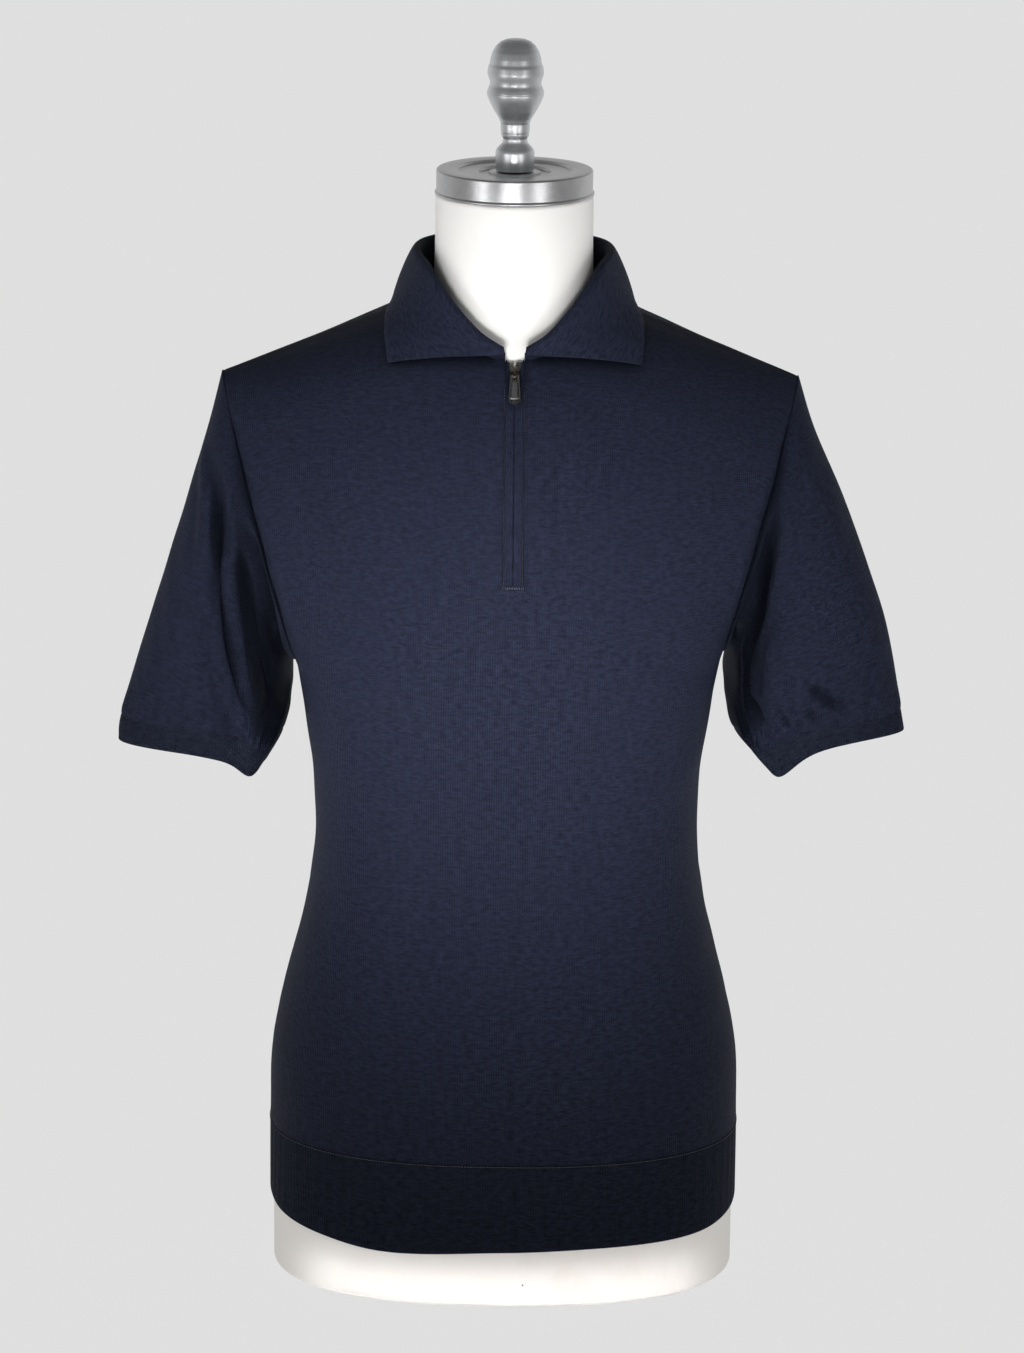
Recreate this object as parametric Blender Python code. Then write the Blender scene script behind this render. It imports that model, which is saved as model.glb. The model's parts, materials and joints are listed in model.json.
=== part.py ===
"""A knitted polo shirt with a quarter zip, on the limbless dress form that it is fitted over.

Metres, +Z up, front towards -Y. The origin is the middle of the form's underside.
The cloth is open walls: two body panels, two sleeves, two cuffs, a hem rib, a folded collar and
the zip's facings and tapes. The pull tab swings on the zip slider; all else is one body.
"""

import math
from collections import namedtuple

import bmesh
import bpy
from mathutils import Vector

# ---------------------------------------------------------------- driving sizes (metres)
JERSEY = 0.0012          # wall of the plain knit panels
RIB = 0.0016             # wall of hem, cuffs and collar
GAP = 0.0003             # between pieces that meet
ZIP_X = 0.0033           # the zip hangs a little off the body's centre line
NECK_X = 0.0018          # and so does the neck

HEM_TOP = 0.1135         # seam between the body panels and the hem rib
PIT = {-1: 0.4746, 1: 0.4840}    # armpit heights: -1 is the wearer's right, seen on the left
TIP = (0.2137, 0.6955)   # shoulder tip: half width and height
PIT_CENTRE = 0.479       # height of the row of points at the armpits, on the centre line
PIT_ROW = 0.5            # share of a panel's rows that lies below the armpit
NECK_ROW = 0.64          # share of the upper rows below the neckline
ARMHOLE_DEPTH = {-1: 0.042, 1: 0.048}   # front and back
NECK_SIDE = (0.066, 0.752)       # neckline at the shoulder seam: half width and height
NECK_CENTRE = {-1: 0.722, 1: 0.766}     # neckline height at the centre, front and back
SLOT = {-1: 0.0072, 1: 0.0040}   # half width of a panel's centre strip; the front one holds the zip
STRIP = 0.05             # and its half width in the panel's own coordinate
ZIP_ROWS = 9             # rows of the upper panel below the neckline; the zip starts at the third
ZIP_FIRST_ROW = 3
PANEL_COLUMNS = 11
LOWER_ROWS = 10
NECK_ROWS = 5

FORM_INSET = 0.0029      # from the cloth's outer face to the form
NECK_Y = -0.008          # the neck leans this far forward

# Outer face of the body cloth by height
Width = namedtuple("Width", "height half")
WIDTHS = (
    Width(0.030, 0.1797), Width(0.118, 0.1795), Width(0.167, 0.1785), Width(0.193, 0.1747),
    Width(0.2175, 0.1695), Width(0.242, 0.1631), Width(0.266, 0.1571), Width(0.290, 0.1511),
    Width(0.314, 0.1474), Width(0.338, 0.1453), Width(0.362, 0.1451), Width(0.3855, 0.1460),
    Width(0.409, 0.1488), Width(0.433, 0.1520), Width(0.4565, 0.1559), Width(0.484, 0.1605),
)
Depth = namedtuple("Depth", "height depth")
FRONTS = (
    Depth(0.030, 0.1215), Depth(0.110, 0.1220), Depth(0.165, 0.1220), Depth(0.215, 0.1190),
    Depth(0.265, 0.1135), Depth(0.315, 0.1085), Depth(0.365, 0.1065), Depth(0.410, 0.1080),
    Depth(0.445, 0.1105), Depth(0.480, 0.1130), Depth(0.540, 0.1140), Depth(0.600, 0.1090),
    Depth(0.650, 0.1000), Depth(0.690, 0.0890), Depth(0.722, 0.0775),
)
BACKS = (
    Depth(0.030, 0.1200), Depth(0.110, 0.1215), Depth(0.165, 0.1215), Depth(0.215, 0.1180),
    Depth(0.265, 0.1090), Depth(0.315, 0.1000), Depth(0.365, 0.0960), Depth(0.410, 0.0980),
    Depth(0.445, 0.1020), Depth(0.480, 0.1070), Depth(0.540, 0.1150), Depth(0.600, 0.1190),
    Depth(0.650, 0.1170), Depth(0.700, 0.1060), Depth(0.740, 0.0880), Depth(0.766, 0.0700),
)
DEPTHS = {-1: FRONTS, 1: BACKS}
BODY_POWER = 2.4         # squareness of the body's sections
SHOULDER_POWER = 1.5

# Lower edge of the hem rib, by turns round the body from the front centre towards +X
HemEdge = namedtuple("HemEdge", "turn height")
HEM_EDGE = (
    HemEdge(0.000, 0.0455), HemEdge(0.050, 0.0475), HemEdge(0.150, 0.0480),
    HemEdge(0.210, 0.0530), HemEdge(0.250, 0.0565), HemEdge(0.320, 0.0500),
    HemEdge(0.500, 0.0455), HemEdge(0.680, 0.0500), HemEdge(0.750, 0.0580),
    HemEdge(0.810, 0.0520), HemEdge(0.870, 0.0470), HemEdge(0.930, 0.0420),
    HemEdge(1.000, 0.0455),
)

# Sleeves as a fan of rings: 0 at the armhole, 1 at the cuff's seam, 1.2 at the cuff's end.
# Outer and inner edge of each ring, how far it stands forward and back, and the long fold's
# valley: where it lies on the front (0 outer edge, 1 inner edge), its depth and half width.
Ring = namedtuple("Ring", "along outer_x outer_z inner_x inner_z front back fold deep wide")
SLEEVES = {
    -1: (
        Ring(0.0, 0.2137, 0.6955, 0.1590, 0.4746, 0.042, 0.048, 0.10, 0.000, 0.10),
        Ring(0.2, 0.2240, 0.6550, 0.1612, 0.4700, 0.050, 0.046, 0.18, 0.001, 0.10),
        Ring(0.4, 0.2405, 0.6000, 0.1636, 0.4615, 0.050, 0.043, 0.31, 0.006, 0.10),
        Ring(0.6, 0.2600, 0.5350, 0.1650, 0.4490, 0.046, 0.040, 0.48, 0.010, 0.10),
        Ring(0.8, 0.2775, 0.4780, 0.1664, 0.4340, 0.040, 0.036, 0.68, 0.010, 0.09),
        Ring(1.0, 0.2910, 0.4300, 0.1720, 0.4155, 0.034, 0.032, 0.80, 0.006, 0.08),
        Ring(1.2, 0.2930, 0.4095, 0.1830, 0.3960, 0.030, 0.028, 0.86, 0.002, 0.08),
    ),
    1: (
        Ring(0.0, 0.2137, 0.6955, 0.1605, 0.4840, 0.042, 0.048, 0.55, 0.000, 0.10),
        Ring(0.2, 0.2265, 0.6560, 0.1632, 0.4800, 0.050, 0.046, 0.60, 0.003, 0.09),
        Ring(0.4, 0.2495, 0.6040, 0.1652, 0.4700, 0.050, 0.043, 0.68, 0.009, 0.09),
        Ring(0.6, 0.2685, 0.5530, 0.1660, 0.4570, 0.046, 0.040, 0.78, 0.011, 0.08),
        Ring(0.8, 0.2850, 0.5015, 0.1676, 0.4400, 0.040, 0.036, 0.86, 0.011, 0.07),
        Ring(1.0, 0.2965, 0.4400, 0.1741, 0.4200, 0.034, 0.032, 0.88, 0.007, 0.07),
        Ring(1.2, 0.3003, 0.4215, 0.1890, 0.4010, 0.030, 0.028, 0.90, 0.002, 0.07),
    ),
}
SLEEVE_SIDES = 28
SLEEVE_RINGS = 10
SLEEVE_END = 0.998       # just short of the cuff's seam
CUFF_START = 1.0015
CUFF_END = 1.2
CUFF_RINGS = 2
FOLD_LEAN = 0.3          # towards the cuff a sleeve's front lies further in than its back
LOW_DIP = 0.007          # the cuff's lowest point hangs at this turn, over this width
LOW_TURN = math.radians(150.0)
LOW_WIDE = math.radians(25.0)
HEM_SIDES = 72
HEM_RINGS = 3

# The collar round the neck: the stand's foot follows the neckline; its fold and its free edge.
# Turn 0 is the front end, 1 is the centre of the back. Half width, forward/back place, height.
Collar = namedtuple("Collar", "turn fold_x fold_y fold_z edge_x edge_y edge_z")
COLLAR = (
    Collar(0.00, 0.0088, -0.0845, 0.7305, 0.0930, -0.0660, 0.7163),
    Collar(0.10, 0.0225, -0.0805, 0.7385, 0.0948, -0.0520, 0.7273),
    Collar(0.20, 0.0330, -0.0745, 0.7475, 0.0955, -0.0370, 0.7362),
    Collar(0.30, 0.0440, -0.0670, 0.7590, 0.0950, -0.0220, 0.7422),
    Collar(0.40, 0.0560, -0.0540, 0.7740, 0.0935, -0.0080, 0.7455),
    Collar(0.50, 0.0640, -0.0370, 0.7840, 0.0915, 0.0060, 0.7467),
    Collar(0.62, 0.0715, -0.0080, 0.7885, 0.0885, 0.0260, 0.7468),
    Collar(0.75, 0.0660, 0.0290, 0.7900, 0.0800, 0.0590, 0.7465),
    Collar(0.88, 0.0390, 0.0580, 0.7900, 0.0500, 0.0825, 0.7440),
    Collar(1.00, 0.0000, 0.0680, 0.7900, 0.0000, 0.0930, 0.7420),
)
SHOULDER_TURN = 0.62     # where the collar crosses the shoulder seam
COLLAR_COLUMNS = 34
COLLAR_ROWS = 11
FOLD_DROP = 0.0040       # from the fold's crest to where its two sides run straight
FOLD_HALF = 0.0034       # half width of the fold there
FOOT_RISE = 0.0010       # the stand's foot lies this far above the neckline
STAND_BOW = 0.0015       # how far the stand bows in, and the leaf bows out, half way
LEAF_BOW = 0.0030

ZIP_BOTTOM = 0.560
ZIP_TOP = 0.7210
SLIT = 0.0005            # half width of the slit between the two facings
FACING_LIFT = 0.0003     # outer faces of facing, teeth and tape, off the front's surface
TEETH_LIFT = -0.0013
TAPE_LIFT = -0.0021
TEETH_WALL = 0.0014
TAPE_WALL = 0.0007
CHAIN_HALF = 0.0017      # half width of the closed teeth
TAPE_HALF = 0.0095
SLIDER_Z = 0.7085
PART_HALF = 0.0036       # half the gap that the two rows of teeth open to
PART_START = 0.7060      # where they begin to part, and over what height
PART_RUN = 0.0160
TAB_LENGTH = 0.0212
TAB_TOP_HALF = 0.0034
TAB_END_HALF = 0.0045
TAB_WALL = 0.0013
TAB_TOP = 0.0007         # its top edge lies this far above the hinge line
TAB_TURNS = 10
AXIS_LIFT = 0.0040       # the pull tab's hinge line, off the cloth
AXIS_RISE = 0.0009       # and above the slider's middle
BRIDGE_HALF = 0.0011
EYE_HALF = 0.0018
REST_TILT = math.radians(5.0)

# Dress form above the armpits, moved in from the cloth: height, half width, front, back, power
Slice = namedtuple("Slice", "height half front back power")
FORM_UPPER = (
    Slice(0.520, 0.1650, 0.1080, 0.1070, 2.35),
    Slice(0.560, 0.1715, 0.1065, 0.1110, 2.30),
    Slice(0.600, 0.1790, 0.1020, 0.1120, 2.20),
    Slice(0.640, 0.1850, 0.0945, 0.1080, 2.05),
    Slice(0.665, 0.1860, 0.0880, 0.1020, 1.90),
    Slice(0.690, 0.1760, 0.0810, 0.0920, 1.75),
    Slice(0.710, 0.1430, 0.0735, 0.0830, 1.60),
    Slice(0.726, 0.1090, 0.0685, 0.0740, 1.52),
    Slice(0.740, 0.0785, 0.0655, 0.0660, 1.58),
    Slice(0.752, 0.0622, 0.0640, 0.0590, 1.85),
    Slice(0.765, 0.0594, 0.0640, 0.0525, 2.00),
    Slice(0.785, 0.0586, 0.0650, 0.0490, 2.00),
    Slice(0.802, 0.0583, 0.0655, 0.0492, 2.00),
    Slice(0.816, 0.0583, 0.0658, 0.0498, 2.00),
    Slice(0.827, 0.0583, 0.0663, 0.0502, 2.00),
    Slice(0.8310, 0.0583, 0.0663, 0.0502, 2.00),
)
FORM_SIDES = 48
FORM_HEIGHTS = (0.0, 0.0009, 0.0030, 0.08, 0.14, 0.17, 0.20, 0.23, 0.26, 0.30, 0.34, 0.38, 0.43, 0.48)
FORM_FOOT = 0.0030       # rounding of the form's lower edge

# Turned metal neck cap and knob, as radius and height
Turn = namedtuple("Turn", "radius height")
CAP = (
    Turn(0.0000, 0.8314), Turn(0.0582, 0.8314), Turn(0.0588, 0.8320), Turn(0.0588, 0.8330),
    Turn(0.0583, 0.8337), Turn(0.0576, 0.8340), Turn(0.0576, 0.8490), Turn(0.0566, 0.8500),
    Turn(0.0420, 0.8500), Turn(0.0416, 0.8492), Turn(0.0265, 0.8492), Turn(0.0262, 0.8476),
    Turn(0.0200, 0.8476), Turn(0.0198, 0.8486), Turn(0.0000, 0.8486),
)
KNOB = (
    Turn(0.0000, 0.8489), Turn(0.0143, 0.8489), Turn(0.0143, 0.8625), Turn(0.0136, 0.8645),
    Turn(0.0120, 0.8664), Turn(0.0097, 0.8690), Turn(0.0090, 0.8709), Turn(0.0090, 0.8731),
    Turn(0.0103, 0.8755), Turn(0.0108, 0.8837), Turn(0.0120, 0.8872), Turn(0.0157, 0.8932),
    Turn(0.0184, 0.8985), Turn(0.0199, 0.9017), Turn(0.0208, 0.9040), Turn(0.0209, 0.9069),
    Turn(0.0200, 0.9096), Turn(0.0189, 0.9122), Turn(0.0190, 0.9146), Turn(0.0200, 0.9180),
    Turn(0.0208, 0.9206), Turn(0.0202, 0.9232), Turn(0.0194, 0.9270), Turn(0.0186, 0.9315),
    Turn(0.0170, 0.9362), Turn(0.0144, 0.9406), Turn(0.0110, 0.9436), Turn(0.0066, 0.9452),
    Turn(0.0000, 0.9456),
)
TURNED_SIDES = 24


# ---------------------------------------------------------------- small tools
def lerp(a, b, share):
    return a + (b - a) * share


def ease(share):
    share = min(max(share, 0.0), 1.0)
    return share * share * (3.0 - 2.0 * share)


def power(value, exponent):
    return math.copysign(abs(value) ** exponent, value)


def read(table, at):
    """The table's row at a value of its first column, on a smooth curve through all rows."""
    keys = [row[0] for row in table]
    last = len(keys) - 1
    at = min(max(at, keys[0]), keys[-1])
    i = max(k for k in range(last) if keys[k] <= at)
    span = keys[i + 1] - keys[i]
    t = (at - keys[i]) / span
    values = [at]
    for column in range(1, len(table[0])):
        def slope(k):
            low, high = max(k - 1, 0), min(k + 1, last)
            return (table[high][column] - table[low][column]) / (keys[high] - keys[low])

        a, b = table[i][column], table[i + 1][column]
        m, n = slope(i) * span, slope(i + 1) * span
        values.append(a + t * (m + t * (3 * (b - a) - 2 * m - n + t * (2 * (a - b) + m + n))))
    return type(table[0])(*values)


def through(points, at):
    """A point on a smooth curve through a list of points, at 0..1."""
    spans = len(points) - 1
    place = min(max(at, 0.0), 1.0) * spans
    i = min(int(place), spans - 1)
    t = place - i
    a, b = points[i], points[i + 1]
    before = points[i - 1] if i else a + (a - b)
    after = points[i + 2] if i + 2 <= spans else b + (b - a)
    m, n = (b - before) / 2, (after - a) / 2
    return a + t * (m + t * (3 * (b - a) - 2 * m - n + t * (2 * (a - b) + m + n)))


def material(name, colour, roughness, metallic=0.0):
    made = bpy.data.materials.new(name)
    made.use_nodes = True
    shader = made.node_tree.nodes["Principled BSDF"]
    shader.inputs["Base Color"].default_value = (*colour, 1.0)
    shader.inputs["Roughness"].default_value = roughness
    shader.inputs["Metallic"].default_value = metallic
    made.diffuse_color = (*colour, 1.0)
    return made


def add_object(name, mesh_data, look, smooth_below=50.0):
    """A mesh from bmesh data, faces turned outwards, as a named object."""
    bmesh.ops.recalc_face_normals(mesh_data, faces=mesh_data.faces)
    mesh = bpy.data.meshes.new(name)
    mesh_data.to_mesh(mesh)
    mesh_data.free()
    mesh.materials.append(look)
    mesh.shade_smooth()
    mesh.set_sharp_from_angle(angle=math.radians(smooth_below))
    made = bpy.data.objects.new(name, mesh)
    bpy.context.scene.collection.objects.link(made)
    return made


def wall(name, surface, us, vs, thick, look, facing=1, kept=None, round_u=False, square=None):
    """A closed wall under a surface: surface(u, v) gives its outer face.

    facing turns the outer side over, kept(i, j) says which cells have cloth, and
    square(u, v, normal) may turn the wall's direction at an edge, so that neighbours meet.
    """
    step = 1e-4
    made = bmesh.new()
    outer, inner = {}, {}
    columns, rows = len(us), len(vs)

    def point_pair(i, j):
        if (i, j) in outer:
            return
        u, v = us[i], vs[j]
        here = surface(u, v)
        lower_u = u - step if round_u else max(u - step, us[0])
        upper_u = u + step if round_u else min(u + step, us[-1])
        lower_v, upper_v = max(v - step, vs[0]), min(v + step, vs[-1])
        along_u = surface(upper_u, v) - surface(lower_u, v)
        along_v = surface(u, upper_v) - surface(u, lower_v)
        normal = along_u.cross(along_v).normalized() * facing
        if square:
            normal = square(u, v, normal).normalized()
        outer[i, j] = made.verts.new(here)
        inner[i, j] = made.verts.new(here - normal * thick)

    last = columns if round_u else columns - 1
    cells = [(i, j) for i in range(last) for j in range(rows - 1) if kept is None or kept(i, j)]
    edges = {}
    for i, j in cells:
        k = (i + 1) % columns
        corners = [(i, j), (k, j), (k, j + 1), (i, j + 1)]
        for corner in corners:
            point_pair(*corner)
        made.faces.new([outer[c] for c in corners])
        made.faces.new([inner[c] for c in reversed(corners)])
        for a, b in zip(corners, corners[1:] + corners[:1]):
            edges.setdefault(frozenset((a, b)), []).append((a, b))
    for sides in edges.values():
        if len(sides) == 1:
            a, b = sides[0]
            made.faces.new([outer[b], outer[a], inner[a], inner[b]])
    return add_object(name, made, look)


def spread(first, last, cells):
    return [lerp(first, last, k / cells) for k in range(cells + 1)]


# ---------------------------------------------------------------- the body cloth
def armhole(face, side, share):
    """The armhole from the armpit (0) to the shoulder tip (1), on the front or the back."""
    turn = math.pi * (1.0 - share)
    rise = (1.0 + math.cos(turn)) / 2
    half = lerp(read(WIDTHS, PIT[side]).half, TIP[0], rise)
    return Vector((side * half, face * ARMHOLE_DEPTH[face] * math.sin(turn), lerp(PIT[side], TIP[1], rise)))


def neckline(face, side, share, slot):
    """The neckline from the centre (0) to the shoulder seam (1)."""
    turn = share * math.pi / 2
    height = NECK_CENTRE[face]
    middle = ZIP_X if face < 0 else 0.0
    return Vector((
        lerp(middle + side * slot, NECK_X + side * NECK_SIDE[0], math.sin(turn)),
        face * read(DEPTHS[face], height).depth * math.cos(turn),
        lerp(height, NECK_SIDE[1], math.sin(turn) ** 1.6),
    ))


def inner_edge(face, side, share):
    """A panel's inner edge above the armpits: up the centre, then along the neckline."""
    if share > NECK_ROW:
        return neckline(face, side, (share - NECK_ROW) / (1.0 - NECK_ROW), SLOT[face])
    height = lerp(PIT_CENTRE, NECK_CENTRE[face], share / NECK_ROW)
    middle = ZIP_X if face < 0 else 0.0
    return Vector((middle + side * SLOT[face], face * read(DEPTHS[face], height).depth, height))


def row_point(face, side, across, up):
    """A body point: across 0 at the centre, 1 at the side; up 0 at the hem rib, 1 at the shoulder."""
    turn = across * math.pi / 2
    middle = ZIP_X if face < 0 else 0.0
    start = 0.0
    if up <= PIT_ROW:
        rise = up / PIT_ROW
        square = BODY_POWER
        share = math.sin(turn) ** (2 / square)
        low = HEM_TOP + GAP * (1.0 - rise)
        z = lerp(low, lerp(PIT_CENTRE, PIT[side], share ** 2), rise)
        half = read(WIDTHS, z).half
        x = lerp(middle + side * SLOT[face], side * half, share)
        inner_y, outer_y = face * read(DEPTHS[face], z).depth, 0.0
        outer_x = side * half
    else:
        part = (up - PIT_ROW) / (1.0 - PIT_ROW)
        inner, outer = inner_edge(face, side, part), armhole(face, side, part)
        square = lerp(BODY_POWER, SHOULDER_POWER, ease(part))
        share = math.sin(turn) ** (2 / square)
        x = lerp(inner.x, outer.x, share)
        z = lerp(inner.z, outer.z, share ** lerp(2.0, 1.0, ease(part)))
        inner_y, outer_y, outer_x = inner.y, outer.y, outer.x
        start = inner.x - (middle + side * SLOT[face])
    beyond = min(abs((x - start) / (outer_x - start)), 1.0)
    y = lerp(outer_y, inner_y, (1.0 - beyond ** square) ** (1 / square))
    return Vector((x, y + face * GAP * 0.6, z))


def panel_point(face, u, v):
    """The panel by u, -1 - STRIP to 1 + STRIP across, with the centre strip inside."""
    side = 1 if u > 0 else -1
    across = abs(u) - STRIP
    if across >= 0.0:
        return row_point(face, side, min(across, 1.0), v)
    near, far = row_point(face, side, 0.0, v), row_point(face, side, 0.002, v)
    return near + (far - near) * (across / 0.002)


def panel(name, face, look, open_from):
    """The front or back panel, open in its centre strip from one row of the upper part on."""
    half = [STRIP + share for share in spread(0.0, 1.0, PANEL_COLUMNS)]
    us = [-u for u in reversed(half)] + half
    upper = spread(0.0, NECK_ROW, ZIP_ROWS) + spread(NECK_ROW, 1.0, NECK_ROWS)[1:]
    vs = spread(0.0, PIT_ROW, LOWER_ROWS) + [lerp(PIT_ROW, 1.0, t) for t in upper[1:]]

    def kept(i, j):
        return i != PANEL_COLUMNS or j < LOWER_ROWS + open_from

    def square(u, v, normal):
        at_side = abs(u) >= us[-1] and v <= PIT_ROW
        if at_side or v >= 1.0:
            return Vector((normal.x, 0.0, normal.z))
        return Vector((normal.x, normal.y, 0.0)) if v <= 0.0 else normal

    def surface(u, v):
        return panel_point(face, u, v)

    return wall(name, surface, us, vs, JERSEY, look, facing=-face, kept=kept, square=square)


def hem_point(turn, v):
    """The hem rib: turn 0..1 round the body from the front centre towards +X."""
    angle = turn * 2 * math.pi
    z = lerp(read(HEM_EDGE, turn % 1.0).height, HEM_TOP, v)
    face = -1 if math.cos(angle) > 0 else 1
    x = read(WIDTHS, z).half * power(math.sin(angle), 2 / BODY_POWER)
    y = -read(DEPTHS[face], z).depth * power(math.cos(angle), 2 / BODY_POWER)
    return Vector((x, y + face * GAP * 0.6 * abs(math.cos(angle)), z))


# ---------------------------------------------------------------- sleeves and cuffs
def sleeve_point(side, turn, along):
    """A sleeve point: turn 0 at the outer edge, a quarter at the front; along 0 to 1.2."""
    ring = read(SLEEVES[side], along)
    soft = ease(along / 0.6)     # round at the armhole, flatter further down
    c, s = math.cos(turn), math.sin(turn)
    across = (1.0 - power(c, lerp(1.0, 0.6, soft) if c < 0 else 1.0)) / 2
    lift = power(s, lerp(1.0, 0.65 if c < 0 else 1.15, soft))
    y = -lift * (ring.front if s > 0 else ring.back)
    if s > 0:
        y += ring.deep * s * math.exp(-((across - ring.fold) / ring.wide) ** 2)
    end = ease(along / CUFF_END)
    x = lerp(ring.outer_x, ring.inner_x, across) - FOLD_LEAN * end * y
    z = lerp(ring.outer_z, ring.inner_z, across ** lerp(1.0, 2.0, along / CUFF_END))
    z -= LOW_DIP * end * math.exp(-((turn - LOW_TURN) / LOW_WIDE) ** 2)
    return Vector((side * (x + GAP * 1.6), y, z))


def tube(name, side, first, last, rings, thick, look):
    """A stretch of a sleeve; its first ring's wall lies in the armhole's plane."""
    pit, tip = armhole(-1, side, 0.0), armhole(-1, side, 1.0)
    run = tip - pit
    axis = Vector((run.z, 0.0, -run.x)).normalized()

    def square(u, v, normal):
        return normal - axis * normal.dot(axis) if v <= 0.0 else normal

    def surface(u, v):
        return sleeve_point(side, u % (2 * math.pi), v)

    us = spread(0.0, 2 * math.pi, SLEEVE_SIDES)[:-1]
    vs = spread(first, last, rings)
    return wall(name, surface, us, vs, thick, look, facing=side, round_u=True, square=square)


# ---------------------------------------------------------------- collar
def collar_lines(u):
    """Foot, fold and free edge at u: -1 and 1 are the front ends, 0 is the centre back."""
    side = 1 if u > 0 else -1
    turn = 1.0 - min(abs(u), 1.0)
    row = read(COLLAR, turn)
    middle = lerp(ZIP_X, NECK_X, min(turn / 0.4, 1.0))
    if turn <= SHOULDER_TURN:
        foot = neckline(-1, side, turn / SHOULDER_TURN, SLOT[-1])
    else:
        foot = neckline(1, side, (1.0 - turn) / (1.0 - SHOULDER_TURN), 0.0)
    fold = Vector((middle + side * row.fold_x, row.fold_y, row.fold_z))
    edge = Vector((middle + side * row.edge_x, row.edge_y, row.edge_z))
    return foot + Vector((0.0, 0.0, FOOT_RISE)), fold, edge


def collar_point(u, v):
    """The collar's showing face: v 0 at the foot, up the stand, over the fold, 1 at the edge."""
    foot, fold, edge = collar_lines(u)
    step = 0.01
    along = (collar_lines(min(u + step, 1.0))[1] - collar_lines(max(u - step, -1.0))[1]).normalized()

    def level(way):
        return (way - along * way.dot(along)).normalized()

    stand, leaf = level(foot - fold), level(edge - fold)
    crest = -(stand + leaf).normalized()
    inward = (stand - leaf).normalized()
    points = (
        foot,
        foot.lerp(fold, 0.5) + inward * STAND_BOW,
        fold - crest * FOLD_DROP + inward * FOLD_HALF,
        fold,
        fold - crest * FOLD_DROP - inward * FOLD_HALF,
        fold.lerp(edge, 0.5) - inward * LEAF_BOW,
        edge,
    )
    return through(points, v)


# ---------------------------------------------------------------- zip
def front_line(z, lift):
    """A point over the front's centre line, lifted off the cloth, with the line's frame."""
    step = 0.002
    slope = (read(FRONTS, z + step).depth - read(FRONTS, z - step).depth) / (2 * step)
    up = Vector((0.0, -slope, 1.0)).normalized()
    out = Vector((0.0, -up.z, up.y))
    return Vector((ZIP_X, -read(FRONTS, z).depth - GAP * 0.6, z)) + out * lift, up, out


def parted(z):
    """Half the gap between the two rows of teeth, which part above the slider."""
    return PART_HALF * ease((z - PART_START) / PART_RUN)


def strip(name, side, inner, outer, low, high, lift, thick, cells, look):
    """A narrow wall beside the zip's centre line; inner and outer give its edges by height."""
    def surface(u, v):
        point = front_line(v, lift)[0]
        point.x += side * lerp(inner(v), outer(v), u)
        return point

    return wall(name, surface, (0.0, 1.0), spread(low, high, cells), thick, look, facing=side)


def build_zip(cloth, tape, metal):
    for side, hand in ((-1, "left"), (1, "right")):
        strip(
            "zip_facing_" + hand, side,
            lambda z: lerp(SLIT, parted(z) + 0.0019, ease((z - 0.7030) / 0.0060)),
            lambda z: SLOT[-1] - GAP,
            ZIP_BOTTOM + 2 * GAP, ZIP_TOP, FACING_LIFT, JERSEY, 12, cloth,
        )
        strip(
            "zip_tape_" + hand, side,
            lambda z: parted(z) + CHAIN_HALF + GAP,
            lambda z: TAPE_HALF,
            ZIP_BOTTOM - 0.006, ZIP_TOP - 0.001, TAPE_LIFT, TAPE_WALL, 10, tape,
        )
        strip(
            "zip_teeth_" + hand, side,
            lambda z: parted(z) + GAP / 2,
            lambda z: parted(z) + CHAIN_HALF,
            ZIP_BOTTOM + 0.001, ZIP_TOP - 0.0005, TEETH_LIFT, TEETH_WALL, 12, metal,
        )


def block(name, low, high, look):
    """A box between two corners, as an object."""
    made = bmesh.new()
    bmesh.ops.create_cube(made, size=1.0)
    for vert in made.verts:
        for k in range(3):
            vert.co[k] = lerp(low[k], high[k], vert.co[k] + 0.5)
    return add_object(name, made, look)


def join_cut(target, other, operation):
    """A Boolean of two objects, kept as a modifier; the other one becomes a hidden guide."""
    modifier = target.modifiers.new(operation.title(), "BOOLEAN")
    modifier.operation = operation
    modifier.solver = "EXACT"
    modifier.object = other
    other.hide_render = True
    other.display_type = "WIRE"


def place(made, origin, up, out):
    """Puts an object modelled as x across, y up the cloth, z off it, at a point of the front."""
    across = up.cross(out)
    for column, axis in enumerate((across, up, out)):
        for row in range(3):
            made.matrix_world[row][column] = axis[row]
    made.matrix_world.translation = origin


def build_slider(metal):
    """A flat body with the bridge that the tab hangs from; corners are across, up and off."""
    origin, up, out = front_line(SLIDER_Z, 0.0)
    body = block("zip_slider", (-0.0037, -0.0043, 0.0007), (0.0037, 0.0042, 0.0026), metal)
    pieces = (
        ("slider_shank", (-0.0011, -0.0010, -0.0010), (0.0011, 0.0022, 0.0010)),
        ("slider_bridge", (-BRIDGE_HALF, -0.0018, 0.0020), (BRIDGE_HALF, 0.0036, 0.0061)),
    )
    window = block("bridge_window", (-0.0020, -0.0009, 0.0026), (0.0020, 0.0027, 0.0053), metal)
    for name, low, high in pieces:
        part = block(name, low, high, metal)
        place(part, origin, up, out)
        join_cut(body, part, "UNION")
    join_cut(body, window, "DIFFERENCE")
    for made in (body, window):
        place(made, origin, up, out)


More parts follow.
